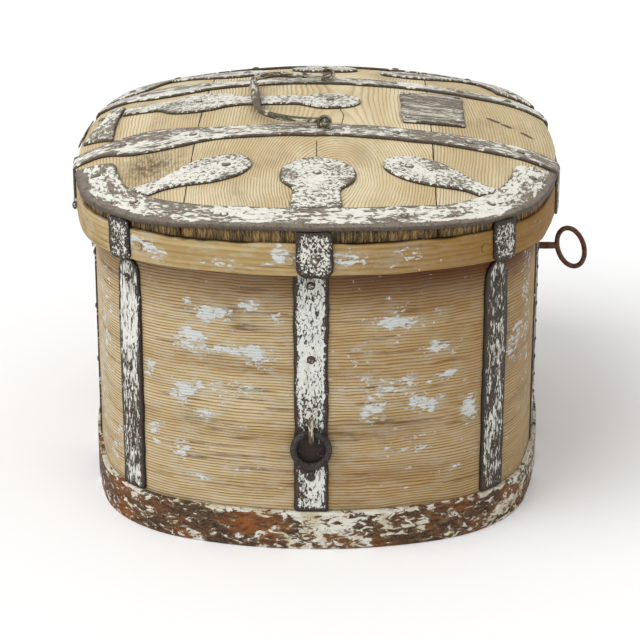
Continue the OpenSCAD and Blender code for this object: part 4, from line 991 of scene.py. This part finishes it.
# %% Wall and hoop
WALL, WALL_TOP = 0.008, 0.243
KEY_Z, KEYHOLE, SLOT_HALF, SLOT_FOOT = 0.163, 0.0033, 0.0019, 0.1467
wall = bent_board("wall", body_rim, 0.0, WALL_TOP, WALL, 11,
    patches=in_metres(WALL_PAINT, body_rim, 3))
keyhole = [(KEYHOLE * math.sin(a), KEY_Z + KEYHOLE * math.cos(a))
    for a in np.linspace(math.radians(-145), math.radians(145), 24)]
keyhole += [(SLOT_HALF, SLOT_FOOT), (-SLOT_HALF, SLOT_FOOT)]
cut_away(wall, prism("keyhole_cutter", keyhole, 0.160, 0.19))
dress(wall, "chest", wall_wood, "wood", "body_wall")

HINGES = {"near": -0.0794572, "far": 0.0877397}
NOTCH_HALF, NOTCH_TOP = 0.0135, 0.2277
hoop = bent_board("hoop", lid_rim, HOOP_FOOT, HOOP_TOP, 0.006, 21, wave=0.0004, ragged=0.0012,
    patches=in_metres(HOOP_PAINT, lid_rim, 3), chipped=in_metres(HOOP_CHIPS, lid_rim, 2))
for y in HINGES.values():
    notch = [(y - NOTCH_HALF, 0.21), (y + NOTCH_HALF, 0.21), (y + NOTCH_HALF, NOTCH_TOP),
        (y - NOTCH_HALF, NOTCH_TOP)]
    cut_away(hoop, prism("notch_cutter", notch, -0.20, -0.17))
dress(hoop, "lid", hoop_wood, "wood", "lid_hoop")
print("wall", len(wall.data.polygons), "faces; hoop", len(hoop.data.polygons))

# %% [markdown]
# The lid boards are thick planks that were hollowed and rounded by hand. They are filled like
# the irons, from a rule: inside the hoop's outline, and between two joints. Their top lies on
# the same dome as the irons do, so the two meet everywhere, and their underside is hollowed.

# %% How far inside a rim
def rim_place(rim, u, v):
    """The walk along an oval to the place beside (u, v), and how far inside that lies."""
    along, deep = np.zeros(np.shape(u)), np.full(np.shape(u), 1e9)
    for (cx, cy, r, a0, a1), start in zip(rim["arcs"], rim["starts"]):
        turn = (np.arctan2(v - cy, u - cx) - a0) % (2 * math.pi)
        inside = r - np.hypot(u - cx, v - cy)
        nearer = (turn <= a1 - a0 + 1e-9) & (inside < deep)
        along, deep = np.where(nearer, start + r * turn, along), np.where(nearer, inside, deep)
    return along, deep

def inside_rim(rim, u, v, inset=0.0):
    """About how far a place lies inside an oval."""
    return rim_place(rim, u, v)[1] - inset

def run_round_lid(u, v):
    """Along the lid's rim, counted from the far end, and inwards from it."""
    along, deep = rim_place(lid_rim, u, v)
    return (along + lid_rim["round"] / 2) % lid_rim["round"], deep

print("the middle of the lid lies", round(float(inside_rim(lid_rim, 0, 0)), 4), "m inside its rim")

# %% Lid boards
HOOP_GAP, EDGE_BOARD = 0.0022, 0.010

def hollow(u, v):
    """The underside of the boards: level over the wall, and 15 mm under the dome inside it."""
    inside = inside_rim(body_rim, u, v, EDGE_BOARD)
    low = np.where(inside > 0, np.maximum(HOOP_TOP, dome(u, v, -0.015)), HOOP_TOP)
    return np.stack([u, v, low], axis=1)

def smudge(u, v):
    """Soot from hands and strap on the back board, beside the near cross strap."""
    return (1.2 * np.exp(-((u + 0.124) / 0.024) ** 2 - ((v + 0.134) / 0.032) ** 2)
        + 0.25 * np.exp(-((u - 0.150) / 0.022) ** 2 - ((v + 0.015) / 0.010) ** 2))

def lid_board(way, low, high, material, seed):
    rule = lambda u, v: np.minimum(inside_rim(lid_rim, u, v, HOOP_GAP),
        np.minimum(u - low, high - u))
    box = (max(low - 0.005, -0.195), -0.259), (min(high + 0.005, 0.195), 0.259)
    piece = plate(f"{way}_board", rule, box, on_lid(0), 0.0, grid=0.006, step=0.0025,
        ragged=0.00012, rounding=0.0004, hammer=0.00015, seed=seed, under=hollow, smear=smudge)
    dress(piece, "lid", material, "pale_wood", f"lid_board_{way}")

lid_board("back", -1, -0.0933, back_wood, 31)
lid_board("centre", -0.0927, 0.0897, centre_wood, 34)
lid_board("front", 0.0903, 1, front_wood, 37)
print("three lid boards, with joints at x -0.093 and 0.090")

# %% [markdown]
# The irons of the lid, one by one. Each stands up from the boards by the thickness of the
# plate, and its rim catches the light, which a painted-on picture of it wouldn't do. Where two
# are nailed side by side a thin line is left.

# %% End bands
ENDS = ((-1, "near"), (1, "far"))
SIDES = ((-1, "back"), (1, "front"))
BAND = 0.0285
# Where a band's two ends are cut: this far from the middle at the side, on a slope
BAND_END, BAND_END_SLOPE = 0.0988, math.tan(math.radians(21))

def at_end(s, x0, x1, y0, y1):
    """A box on the near end, where s is -1, or on the far one."""
    return (x0, min(s * y0, s * y1)), (x1, max(s * y0, s * y1))

def lid_iron(name, rule, box, material, seed, node, slot="painted_iron", run=None):
    piece = plate(name, rule, box, on_lid(), IRON, seed=seed, run=run)
    dress(piece, "lid", material, slot, node)

def end_band(s, end, material, seed):
    def rule(u, v):
        in_ring = np.minimum(inside_rim(lid_rim, u, v, -0.001), BAND - inside_rim(lid_rim, u, v))
        ends = s * v - (BAND_END + (0.202 - np.abs(u)) * BAND_END_SLOPE)
        return np.minimum(in_ring, ends)
    lid_iron(f"end_band_{end}_iron", rule, at_end(s, -0.196, 0.196, 0.09, 0.26), material, seed,
        f"end_band_{end}", run=run_round_lid)

end_band(-1, "near", near_band_paint, 41)
end_band(1, "far", band_paint, 44)
print("two end bands,", BAND * 1000, "mm wide")

# %% Discs and leaves
MIDDLE_X, DISC_Y, DISC = 0.003, 0.1729, 0.0285
LEAF_X, LEAF_Y, LEAF_SLANT = 0.081, 0.1574, math.radians(25)
LEAF_LONG, LEAF_WIDE = 0.033, 0.0215

def clear_of_band(u, v, value):
    return np.minimum(value, inside_rim(lid_rim, u, v, BAND + 0.0003))

def disc(s, end, seed):
    """A round lobe whose neck widens towards the band."""
    def rule(u, v):
        w = s * v
        round_part = lobe(u, w, (MIDDLE_X, DISC_Y), (DISC, DISC))
        neck = bar(u, w, (MIDDLE_X, 0.215), (0.016 + 0.07 * (w - 0.19), 0.04))
        return clear_of_band(u, v, join(round_part, np.minimum(neck, 0.02), 0.006))
    lid_iron(f"disc_{end}_iron", rule, at_end(s, -0.03, 0.036, 0.14, 0.235), lobe_paint, seed,
        f"disc_{end}")

def leaf(s, end, side, way):
    """A slanting leaf whose neck runs out to the band."""
    foot_x = MIDDLE_X + side * LEAF_X
    neck_out = LEAF_LONG + 0.016
    neck_at = neck_out * math.cos(LEAF_SLANT), LEAF_Y + neck_out * math.sin(LEAF_SLANT)
    def rule(u, v):
        w, t = s * v, side * (u - foot_x)
        blade = lobe(t, w, (0, LEAF_Y), (LEAF_LONG, LEAF_WIDE), LEAF_SLANT, 0.18)
        neck = bar(t, w, neck_at, (0.032, 0.009), LEAF_SLANT)
        return clear_of_band(u, v, join(blade, neck, 0.008))
    middle = foot_x + side * 0.02
    lid_iron(f"leaf_{end}_{way}", rule, at_end(s, middle - 0.07, middle + 0.07, 0.122, 0.232),
        lobe_paint, 60 + s + 3 * side, f"leaves_{end}")

disc(-1, "near", 51)
disc(1, "far", 54)
for s, end in ENDS:
    for side, way in SIDES:
        leaf(s, end, side, way)
print("two discs and four leaves on the lid")

# %% Edge plate, middle strap and patch
def edge_plate_rule(u, v):
    ring = np.minimum(inside_rim(lid_rim, u, v, 0.001), 0.030 - inside_rim(lid_rim, u, v))
    slant = (u + 0.170) * 0.9
    return np.minimum(ring, np.minimum(v + 0.051 + slant, 0.052 - slant - v))

lid_iron("edge_plate_iron", edge_plate_rule, ((-0.196, -0.07), (-0.14, 0.055)),
    edge_plate_paint, 71, "edge_plate", run=run_round_lid)

BIG_LOBE, SMALL_LOBE = (-0.097, 0.014), (0.010, -0.002)

def middle_strap_rule(u, v):
    centre = np.interp(u, [-0.162, -0.097, -0.068, -0.040, 0.010],
        [0.0265, 0.014, 0.007, 0.003, -0.002])
    width = np.interp(u, [-0.162, -0.097, 0.010], [0.0115, 0.0125, 0.0115])
    strap = np.minimum(width - np.abs(v - centre), np.minimum(u + 0.161, 0.010 - u))
    value = join(strap, lobe(u, v, BIG_LOBE, (0.031, 0.030)), 0.008)
    return join(value, lobe(u, v, SMALL_LOBE, (0.024, 0.023)), 0.008)

lid_iron("middle_strap_iron", middle_strap_rule, ((-0.168, -0.03), (0.045, 0.06)), lobe_paint,
    74, "middle_strap")

PATCH = [(0.067, -0.054), (0.117, -0.045), (0.119, 0.055), (0.067, 0.041)]

def patch_rule(u, v):
    value = np.full(np.shape(u), 1.0)
    for (x0, y0), (x1, y1) in zip(PATCH, PATCH[1:] + PATCH[:1]):
        long = math.hypot(x1 - x0, y1 - y0)
        value = np.minimum(value, ((x1 - x0) * (v - y0) - (y1 - y0) * (u - x0)) / long)
    return value

lid_iron("patch_iron", patch_rule, ((0.055, -0.06), (0.130, 0.066)), patch_paint, 77,
    "patch_plate", "iron")
print("edge plate, middle strap and patch on the lid")

# %% [markdown]
# The two cross straps run over the whole lid and bend down over the hoop at both sides. The
# plate maker lays the top; where the strap leaves the board's edge its points slide down the
# hoop's face instead, so one outline serves for the whole bent strap. At the back each strap
# ends in a rolled knuckle that turns on the hinge pin.

# %% Cross straps
LID_SIDE, DOME_SIDE, BACK_FOOT = 0.193, 0.1925, 0.2271
STRAP_HALF, BEND = 0.0125, 0.0012
CROSS = {"near": (-0.0835, math.radians(-1.2)), "far": (0.081, math.radians(-2))}

def along_strap(y_mid, slant, u, v):
    return y_mid + v + np.clip(u, -LID_SIDE, LID_SIDE) * math.tan(slant)

def folded_over(y_mid, slant):
    """u runs across the lid and then down the hoop; beyond the rim it turns downwards."""
    def place(u, v, h):
        y = along_strap(y_mid, slant, u, v)
        sign = np.sign(u)
        rim_x = np.abs(half_width_at(lid_rim, y)) + SEAT
        over = np.abs(u) - rim_x
        flat = over <= 0
        x_top = np.where(flat, np.abs(u), rim_x)
        on_top = np.clip(x_top, 0, DOME_SIDE) * sign
        x = np.where(flat, x_top, rim_x + h)
        down_hoop = dome(on_top, y, SEAT) - np.clip(over, 0, None)
        z = np.where(flat, dome(on_top, y, SEAT + h), down_hoop)
        corner = np.clip(1 - np.abs(over) / BEND, 0, 1)
        x = x + corner * np.where(flat, h * 0.7, 0) * 0.9
        z = z + corner * np.where(flat, 0, h * 0.7) * 0.9
        return sign * x, y, z
    return place

def cross_strap(end, y_mid, slant, seed):
    def rule(u, v):
        swell = lobe(u, v, (-0.122, 0), (0.042, 0.024), 0, 0.18)
        value = join(STRAP_HALF - np.abs(v), swell, 0.010)
        reach = half_width_at(lid_rim, along_strap(y_mid, slant, u, v))
        down_to = reach + dome(reach, along_strap(y_mid, slant, u, v))
        return np.minimum(value, np.minimum(down_to - HOOP_FOOT - u, down_to - BACK_FOOT + u))
    piece = plate(f"cross_strap_{end}_iron", rule, ((-0.232, -0.028), (0.232, 0.028)),
        folded_over(y_mid, slant), IRON, seed=seed)
    dress(piece, "lid", cross_paint, "painted_iron", f"cross_strap_{end}")

# %% Hinge knuckles
HINGE_X, HINGE_Z, KNUCKLE, KNUCKLE_HALF, BORE = -0.1858, 0.2225, 0.0042, 0.0041, 0.00208
TAIL_TOP, TAIL_UNDER = 0.2291, 0.2268

def knuckle(end, y):
    """The end of a strap, rolled round its pin: seen from the end, a hook with a bore."""
    face = -float(half_width_at(lid_rim, abs(y) + STRAP_HALF)) - SEAT
    turns = np.linspace(math.radians(200), math.radians(430), 22)
    rolled = arc((HINGE_X, HINGE_Z), KNUCKLE, turns)
    rolled += [(face, HINGE_Z + KNUCKLE), (face, TAIL_TOP), (face - IRON, TAIL_TOP),
        (HINGE_X - KNUCKLE, TAIL_UNDER)]
    piece = prism(f"knuckle_{end}", rolled[::-1], y - KNUCKLE_HALF, y + KNUCKLE_HALF, "Y")
    bore = arc((HINGE_X, HINGE_Z), BORE, np.linspace(0, 2 * math.pi, 24, endpoint=False))
    cut_away(piece, prism("bore_cutter", bore, y - 0.02, y + 0.02, "Y"))
    dress(piece, "lid", hinge_paint, "painted_iron")

for n, end in enumerate(CROSS):
    cross_strap(end, *CROSS[end], 81 + 3 * n)
    knuckle(end, HINGES[end])
print("cross straps with their knuckles at y", list(HINGES.values()))

# %% [markdown]
# Straps tie the wall to the foot band, and clips reach down from the lid over its hoop. They
# use the same plate maker, laid round the wall instead of bent flat sheets, so each hugs the
# oval: u is the walk along the rim and v the height.

# %% Wall straps
STRAP_FOOT, STRAP_TOP, SIDE_TOP, THIN = 0.0304, 0.239, 0.2137, 0.0012
STRAP_WIDE, CORNER_WIDE, CORNER_ROUND = 0.025, 0.0245, 0.01225
FRONT_STRAPS = {"near": -0.0875428, "far": 0.0742603}

def wall_strap(name, x, y, width, high, material, slot, node, seed, top_round=0.0,
        thickness=IRON, rubbed=None):
    """A strap up the wall, with a square top or a rounded one."""
    half = width / 2
    def rule(u, v):
        side = half - np.abs(u)
        value = np.minimum(side, np.minimum(v - STRAP_FOOT, high - v))
        if top_round:
            cap = top_round - np.hypot(u, v - (high - top_round))
            value = np.where(v > high - top_round, np.minimum(side, cap), value)
        return value
    box = (-half - 0.006, STRAP_FOOT - 0.004), (half + 0.006, high + 0.004)
    piece = plate(name, rule, box, round_wall(body_rim, walk_to(body_rim, x, y)), thickness,
        seed=seed, run=lambda u, v: (v, u), smear=rubbed)
    dress(piece, "chest", material, slot, node)

def ring_wear(u, v):
    """The ring has rubbed its paint away as it swung."""
    return 1.2 * np.exp(-((u / 0.014) ** 2 + ((v - 0.078) / 0.017) ** 2) ** 2)

wall_strap("end_strap_near_iron", 0, -BODY_END, STRAP_WIDE, STRAP_TOP, end_paint, "painted_iron",
    "end_strap_near", 91, rubbed=ring_wear)
wall_strap("end_strap_far_iron", 0, BODY_END, STRAP_WIDE, STRAP_TOP, strap_paint, "painted_iron",
    "end_strap_far", 94)
corner_x, corner_y = on_corner(body_rim, 46.5)
for s, end in ENDS:
    for side, way in SIDES:
        wall_strap(f"corner_strap_{end}_{way}", side * corner_x, s * corner_y, CORNER_WIDE,
            SIDE_TOP, strap_paint, "painted_iron", f"corner_straps_{end}", 100 + s + 3 * side,
            CORNER_ROUND, rubbed=lambda u, v: np.full_like(u, 0.12 * side))
for seed, (end, y) in zip((110, 113), FRONT_STRAPS.items()):
    wall_strap(f"front_strap_{end}_iron", half_width_at(body_rim, y), y, STRAP_WIDE, SIDE_TOP,
        side_paint, "iron", f"front_strap_{end}", seed, thickness=THIN)
print("eight straps on the wall, from", STRAP_FOOT, "m up")

# %% Clips
CLIP_FOOT, CLIP_TOP, MIDDLE_CLIP, CORNER_CLIP = 0.2177, 0.2527, 0.027, 0.022

def clip(name, x, y, width, high, seed, node):
    """A clip over the hoop, with its lower corners cut off."""
    half = width / 2
    def rule(u, v):
        value = np.minimum(half - np.abs(u), np.minimum(v - CLIP_FOOT, high - v))
        chamfer = (half - np.abs(u) + (v - CLIP_FOOT) - width * 0.18) * 0.7
        return np.minimum(value, chamfer)
    box = (-half - 0.004, CLIP_FOOT - 0.003), (half + 0.004, high + 0.003)
    piece = plate(name, rule, box, round_wall(lid_rim, walk_to(lid_rim, x, y)), IRON, seed=seed,
        grid=0.003, run=lambda u, v: (v, u))
    dress(piece, "lid", clip_paint, "painted_iron", node)

clip_x, clip_y = on_corner(lid_rim, 43.5)
for s, end in ENDS:
    clip(f"clip_{end}_middle", MIDDLE_X, s * LID_END, MIDDLE_CLIP, CLIP_TOP, 120 + s,
        f"clips_{end}")
    for side, way in SIDES:
        x, y = side * clip_x, s * clip_y
        clip(f"clip_{end}_{way}", x, y, CORNER_CLIP, float(dome(x, y)) - 0.0004,
            126 + s + 3 * side, f"clips_{end}")
print("six clips, down to", CLIP_FOOT, "m")

# %% [markdown]
# Nail heads are small hammered domes. Copies of one mesh would be lighter, but would look
# alike. So each is a short stack of rings of its own, a little uneven, and set square to the
# iron under it.

# %% Nail heads
AROUND, RINGS = 14, (1.0, 0.97, 0.8, 0.5)
ON_IRON, ON_THIN = IRON + 2 * SEAT, THIN + 2 * SEAT

def nail_heads(name, places, radius=0.0034, height=0.0014):
    """One object with a head at each (place, outward direction)."""
    vertices, faces, edge = [], [], []
    chance = np.random.RandomState(len(places))
    for place, normal in places:
        turn = Vector(normal).to_track_quat("Z", "Y").to_matrix()
        size = radius * (0.92 + 0.16 * chance.rand())
        wide, long = 0.94 + 0.1 * chance.rand(2)
        tilt = (chance.rand(2)[0] - 0.5) * 0.12
        base = len(vertices)
        for ring in RINGS:
            z = height * (1 - ring ** 2.2) * 0.96 if ring < 1 else -0.0002
            for n in range(AROUND):
                a = 2 * math.pi * n / AROUND
                r = size * ring * (1 + 0.04 * math.sin(3 * a + 7 * size))
                local = Vector((r * math.cos(a) * wide, r * math.sin(a) * long,
                    z + tilt * r * math.cos(a) * (ring < 1)))
                vertices.append(place + turn @ local)
                edge.append(1.0 - ring)
        vertices.append(place + turn @ Vector((0, 0, height * 0.94)))
        edge.append(1.0)
        for i in range(len(RINGS)):
            for n in range(AROUND):
                m = (n + 1) % AROUND
                low, high = base + i * AROUND, base + (i + 1) * AROUND
                faces.append((low + n, low + m, high + m, high + n) if i < len(RINGS) - 1
                    else (low + n, low + m, high))
    return make_object(name, vertices, faces, edge=edge)

def lid_nail(x, y):
    """A nail on the lid, square to the dome under it."""
    step = 1e-4
    normal = Vector((-(float(dome(x + step, y)) - float(dome(x - step, y))) / (2 * step),
        -(float(dome(x, y + step)) - float(dome(x, y - step))) / (2 * step), 1)).normalized()
    return Vector((x, y, float(dome(x, y)))) + normal * ON_IRON, normal

def wall_nails(rim, x, y, heights, lift=ON_IRON):
    """A row of nails up the wall."""
    px, py, nx, ny = (float(v) for v in walk(rim, walk_to(rim, x, y), lift))
    return [(Vector((px, py, z)), Vector((nx, ny, 0))) for z in heights]

# %% Nails on the wall
ON_END, ON_CORNER = (0.0577, 0.1507, 0.2072), (0.0668, 0.1276, 0.198)
ON_FRONT, ON_LEAF = np.arange(0.0379, 0.2097, 0.015), np.arange(0.0454, 0.1885, 0.045)
heads = []
for s, _ in ENDS:
    heads += wall_nails(body_rim, 0, s * BODY_END, ON_END)
    for side, _ in SIDES:
        heads += wall_nails(body_rim, side * corner_x, s * corner_y, ON_CORNER)
heads += wall_nails(body_rim, 0, BODY_END, [0.104])
dress(nail_heads("wall_nail_heads", heads), "chest", wall_nail_paint, "iron", "body_nails")
print("nail heads on the ends and corners:", len(heads))
heads = []
for y in FRONT_STRAPS.values():
    heads += wall_nails(body_rim, half_width_at(body_rim, y), y, ON_FRONT, ON_THIN)
for y in HINGES.values():
    heads += wall_nails(body_rim, -half_width_at(body_rim, y), y, ON_LEAF, ON_THIN)
dress(nail_heads("side_nail_heads", heads, 0.0022, 0.001), "chest", wall_nail_paint, "iron")
print("and on the long sides:", len(heads))

# %% Nails on the lid
heads = []
for s, _ in ENDS:
    spots = [(MIDDLE_X, DISC_Y), (-0.062, 0.2334), (0.066, 0.2334)]
    spots += [(MIDDLE_X + side * 0.068, 0.1524) for side, _ in SIDES]
    spots += [(side * x, y) for x, y in ((0.130, 0.1969), (0.164, 0.1359)) for side, _ in SIDES]
    heads += [lid_nail(x, s * y) for x, y in spots]
    heads += wall_nails(lid_rim, MIDDLE_X, s * LID_END, [0.231])
for y_mid, slant in CROSS.values():
    heads += [lid_nail(x, y_mid + x * math.tan(slant))
        for x in (-0.150, -0.095, 0.062, 0.118, 0.158)]
heads += [lid_nail(*BIG_LOBE), lid_nail(*SMALL_LOBE)]
heads += [lid_nail(-half_width_at(lid_rim, y) + 0.0145, y) for y in (-0.038, 0.024)]
middle = np.mean(PATCH, axis=0)
heads += [lid_nail(*(middle + 0.8 * (np.array(c) - middle))) for c in PATCH]
dress(nail_heads("lid_nail_heads", heads), "lid", nail_paint, "iron", "lid_nails")
print("nail heads on the lid:", len(heads))

# %% [markdown]
# Rods, rings and handles are swept: a circle is carried along a path, its radius changing as
# the smith left it. A curve with a bevel would make the same rod, but a mesh made here can
# have dents, and can carry the distances that the paint reads.

# %% Sweeping a rod
def sweep(name, path, radius, closed=False, sides=14, seed=1, dents=0.04):
    """A rod along a path. radius is one number, or one for each point of the path."""
    path = [Vector(p) for p in path]
    count = len(path)
    radii = radius if hasattr(radius, "__len__") else [radius] * count
    chance = np.random.RandomState(seed)
    rough = 1 + dents * (chance.rand(count, sides) - 0.6)
    rough = (rough + np.roll(rough, 1, 0) + np.roll(rough, 1, 1) + np.roll(rough, -1, 1)) / 4
    vertices, run, normal, walked = [], [], None, 0.0
    for n, p in enumerate(path):
        walked += (p - path[n - 1]).length if n else 0.0
        ahead = path[(n + 1) % count] if closed or n < count - 1 else p
        behind = path[n - 1] if closed or n > 0 else p
        tangent = (ahead - behind).normalized()
        if normal is None:
            normal = tangent.orthogonal().normalized()
        normal = (normal - tangent * normal.dot(tangent)).normalized()
        other = tangent.cross(normal)
        for k in range(sides):
            a = 2 * math.pi * k / sides
            r = radii[n] * rough[n, k]
            vertices.append(p + normal * (r * math.cos(a)) + other * (r * math.sin(a)))
            run.append((walked, r * math.cos(a), r * math.sin(a) + seed * 0.11))
    faces = []
    for n in range(count if closed else count - 1):
        m = (n + 1) % count
        shift = 0
        if closed and m == 0:
            first = vertices[0] - path[0]
            ends = [(vertices[n * sides + k] - path[n]).dot(first) for k in range(sides)]
            shift = int(np.argmax(ends))
        for k in range(sides):
            j = (k + 1) % sides
            a, b = n * sides + (k + shift) % sides, n * sides + (j + shift) % sides
            faces.append((a, b, m * sides + j, m * sides + k))
    if not closed:
        for n, turned in ((0, True), (count - 1, False)):
            vertices.append(path[n])
            run.append(run[n * sides])
            hub = len(vertices) - 1
            for k in range(sides):
                a, b = n * sides + k, n * sides + (k + 1) % sides
                faces.append((b, a, hub) if turned else (a, b, hub))
    return make_object(name, vertices, faces, edge=[1.0] * len(vertices), run=run)

def circle_path(centre, radius, across, up, count=48, start=0.0, end=2 * math.pi):
    across, up = Vector(across), Vector(up)
    full = abs(end - start - 2 * math.pi) < 1e-6
    angles = np.linspace(start, end, count, endpoint=not full)
    return [Vector(centre) + across * (radius * math.cos(a)) + up * (radius * math.sin(a))
        for a in angles]

# %% [markdown]
# The bail is one rod, bent by hand, so its two bends differ and its grip lies askew. Its path is
# written flat, point by point with a radius at each, and is then tipped a little, since the bail
# rests on the irons of the lid. Its ends are upset to knobs that keep them in the eyes.

# %% Bail
EYE_X, EYE_Z, BAIL_Z = 0.007, 0.287793, 0.287593
EYES = (-0.0836466, 0.0807556)
WIRE, GRIP = 0.0025, 0.0039
MID_Y, ARM, NEAR_BEND, FAR_BEND = -0.0014455, 0.077, 0.044, 0.026
skew = math.radians(5)
near_y, far_y = MID_Y - ARM, MID_Y + ARM

def knob(y, way):
    """The end of an arm: a stub through the eye and its knob, from the tip inwards."""
    steps = ((0.0134, 0.0008), (0.0131, 0.0024), (0.0118, 0.0035), (0.0100, 0.0037),
        (0.0082, 0.0034), (0.0068, 0.0026), (0.0035, WIRE), (0.0006, WIRE))
    return [(0.0, y + way * far, r) for far, r in steps]

line = knob(near_y, -1) + [(-0.0008, near_y, WIRE), (-0.005, near_y, WIRE)]
x, y, r = -0.0104448, near_y + NEAR_BEND, NEAR_BEND
line += [(x - r * math.sin(a), y - r * math.cos(a), WIRE)
    for a in np.linspace(0, math.pi / 2 - skew, 16)]
grip_from = Vector(line[-1][:2])
x, y, r = -0.0358626, far_y - FAR_BEND, FAR_BEND
grip_to = Vector((x - r * math.cos(skew), y - r * math.sin(skew)))
length = (grip_to - grip_from).length
near_ends = (0.004, 0.008, 0.012, 0.016, 0.022)
for t in (*near_ends, length / 2, *(length - t for t in near_ends[::-1])):
    p = grip_from.lerp(grip_to, t / length)
    swell = min(1.0, max(0.0, (min(t, length - t) - 0.003) / 0.013))
    line.append((p.x, p.y, WIRE + (GRIP - WIRE) * swell))
line += [(x - r * math.cos(a), y + r * math.sin(a), WIRE)
    for a in np.linspace(-skew, math.pi / 2, 14)]
line += [(x, far_y, WIRE) for x in (-0.020, -0.008, -0.0008)] + knob(far_y, 1)[::-1]
tip = Matrix.Rotation(math.radians(1.3), 4, "Y")
bail_path = [Vector((EYE_X, 0, BAIL_Z)) + tip @ Vector((x, y, 0)) for x, y, _ in line]
bail = sweep("bail_handle", bail_path, [r for _, _, r in line], seed=5, dents=0.07)
dress(bail, "bail", bail_paint, "iron", "bail")
print("bail", [round(v, 3) for v in bail.dimensions])

# %% [markdown]
# The eyes are bent wire with their legs driven into the straps. The pull ring hangs in a staple
# on the near end, whose outer side is a flat loop with rounded corners.

# %% Eyes
EYE, EYE_WIRE, LEGS = 0.0044, 0.0015, (0.012, 0.006, 0.002)
for n, y in enumerate(EYES):
    arch = [Vector((EYE_X - EYE, y, EYE_Z - z)) for z in LEGS]
    arch += circle_path((EYE_X, y, EYE_Z), EYE, (-1, 0, 0), (0, 0, 1), 14, 0, math.pi)
    arch += [Vector((EYE_X + EYE, y, EYE_Z - z)) for z in LEGS[::-1]]
    eye = sweep(f"bail_eye_{n + 1}", arch, EYE_WIRE, seed=8 + n, dents=0.1)
    dress(eye, "lid", bail_paint, "iron", "bail_eyes")
print("eyes at y", EYES)

# %% Ring and staple
RING, RING_STOCK, RING_Y, RING_TOP, STAPLE_STOCK = 0.013, 0.0026, -0.24515, 0.0944, 0.0019
ring_at = (0, RING_Y, RING_TOP - RING)
ring = sweep("pull_ring_iron", circle_path(ring_at, RING, (1, 0, 0), (0, 0, 1), 64), RING_STOCK,
    closed=True, sides=18, seed=14, dents=0.06)
dress(ring, "ring", ring_iron, "iron", "pull_ring")

legs_y, front_y = (-0.24175, -0.2452), RING_Y - 0.0053
low_z, high_z, r = RING_TOP - 0.0053, RING_TOP + 0.0083, 0.0023
staple_path = [(0, y, low_z) for y in (*legs_y, front_y + r)]
staple_path += [(0, front_y + r - r * math.sin(a), low_z + r - r * math.cos(a))
    for a in np.linspace(0.3, math.pi / 2, 5)]
staple_path += [(0, front_y, (low_z + high_z) / 2)]
staple_path += [(0, front_y + r - r * math.cos(a), high_z - r + r * math.sin(a))
    for a in np.linspace(0, math.pi / 2 - 0.3, 5)]
staple_path += [(0, y, high_z) for y in (front_y + r, *legs_y[::-1])]
staple = sweep("ring_staple_iron", staple_path, STAPLE_STOCK, seed=17, dents=0.08)
dress(staple, "chest", bail_paint, "iron", "ring_staple")
print("ring", [round(v, 3) for v in ring.dimensions])

# %% [markdown]
# The key is three pieces that turn as one: an oval bow of thin rod that leans a little, a round
# shank that thins where it meets the bow, and a flat bit inside the lock.

# %% Key
BOW_X, BOW_Z, BOW_WIDE, BOW_TALL = 0.2090, 0.1615, 0.0114, 0.0166
lean = math.radians(-8)
bow_path = []
for a in np.linspace(0, 2 * math.pi, 40, endpoint=False):
    x, z = BOW_WIDE * math.cos(a), BOW_TALL * math.sin(a)
    bow_path.append((BOW_X + x * math.cos(lean) + z * math.sin(lean), 0,
        BOW_Z + z * math.cos(lean) + x * math.sin(lean)))
bow = sweep("key_bow", bow_path, 0.0021, closed=True, seed=23, dents=0.08)
shank_at = (0.1534, 0.165, 0.175, 0.185, 0.188, 0.1895, 0.191, 0.1945, 0.1965, 0.1976)
shank = sweep("key_shank", [(x, 0, KEY_Z) for x in shank_at],
    [0.0029] * 7 + [0.0028, 0.0026, 0.0022], seed=26)
blade = [(-0.0014, 0.1472), (0.0014, 0.1472), (0.0014, 0.1620), (-0.0014, 0.1620)]
bit = prism("key_bit", blade, 0.1546, 0.1632)
dress(bow, "key", key_iron, "rusty_iron")
dress(shank, "key", key_iron, "rusty_iron")
dress(bit, "key", key_iron, "rusty_iron", "key")
print("key bow", [round(v, 3) for v in bow.dimensions])

# %% [markdown]
# What is left are pieces whose solids are right as they are: the bottom, the foot band, hinge
# leaves, pins, the lock and its bolt, and the pegs. They are plain or out of sight, so they
# keep their meshes and get finishes.

# %% Finishes for the kept solids
KEPT = (("base_board", back_wood), ("foot_band", foot_iron), ("hinge_leaf_near", hinge_paint),
    ("hinge_leaf_far", hinge_paint), ("hinge_pins", forged), ("lock_case", dark_iron),
    ("lock_cover", dark_iron), ("lock_bolt", dark_iron), ("lid_catch", dark_iron),
    ("hoop_pegs", hoop_wood))
for node, material in KEPT:
    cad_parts[node].data.materials.clear()
    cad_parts[node].data.materials.append(material)
print("solids kept as they are:", len(KEPT))

# %% [markdown]
# The floor is a plain, nearly white sheet, large enough to run out of view. It isn't part of
# the chest.

# %% Floor
floor = make_object("Floor", [(-8, -8, 0), (8, -8, 0), (8, 8, 0), (-8, 8, 0)], [(0, 1, 2, 3)])
ground, tree, shader, where = new_material("Studio floor")
feed(tree, shader, {"Base Color": (0.97, 0.97, 0.97, 1), "Roughness": 1.0,
    "Specular IOR Level": 0.0})
floor.data.materials.append(ground)
print("floor", [round(v) for v in floor.dimensions], "m")
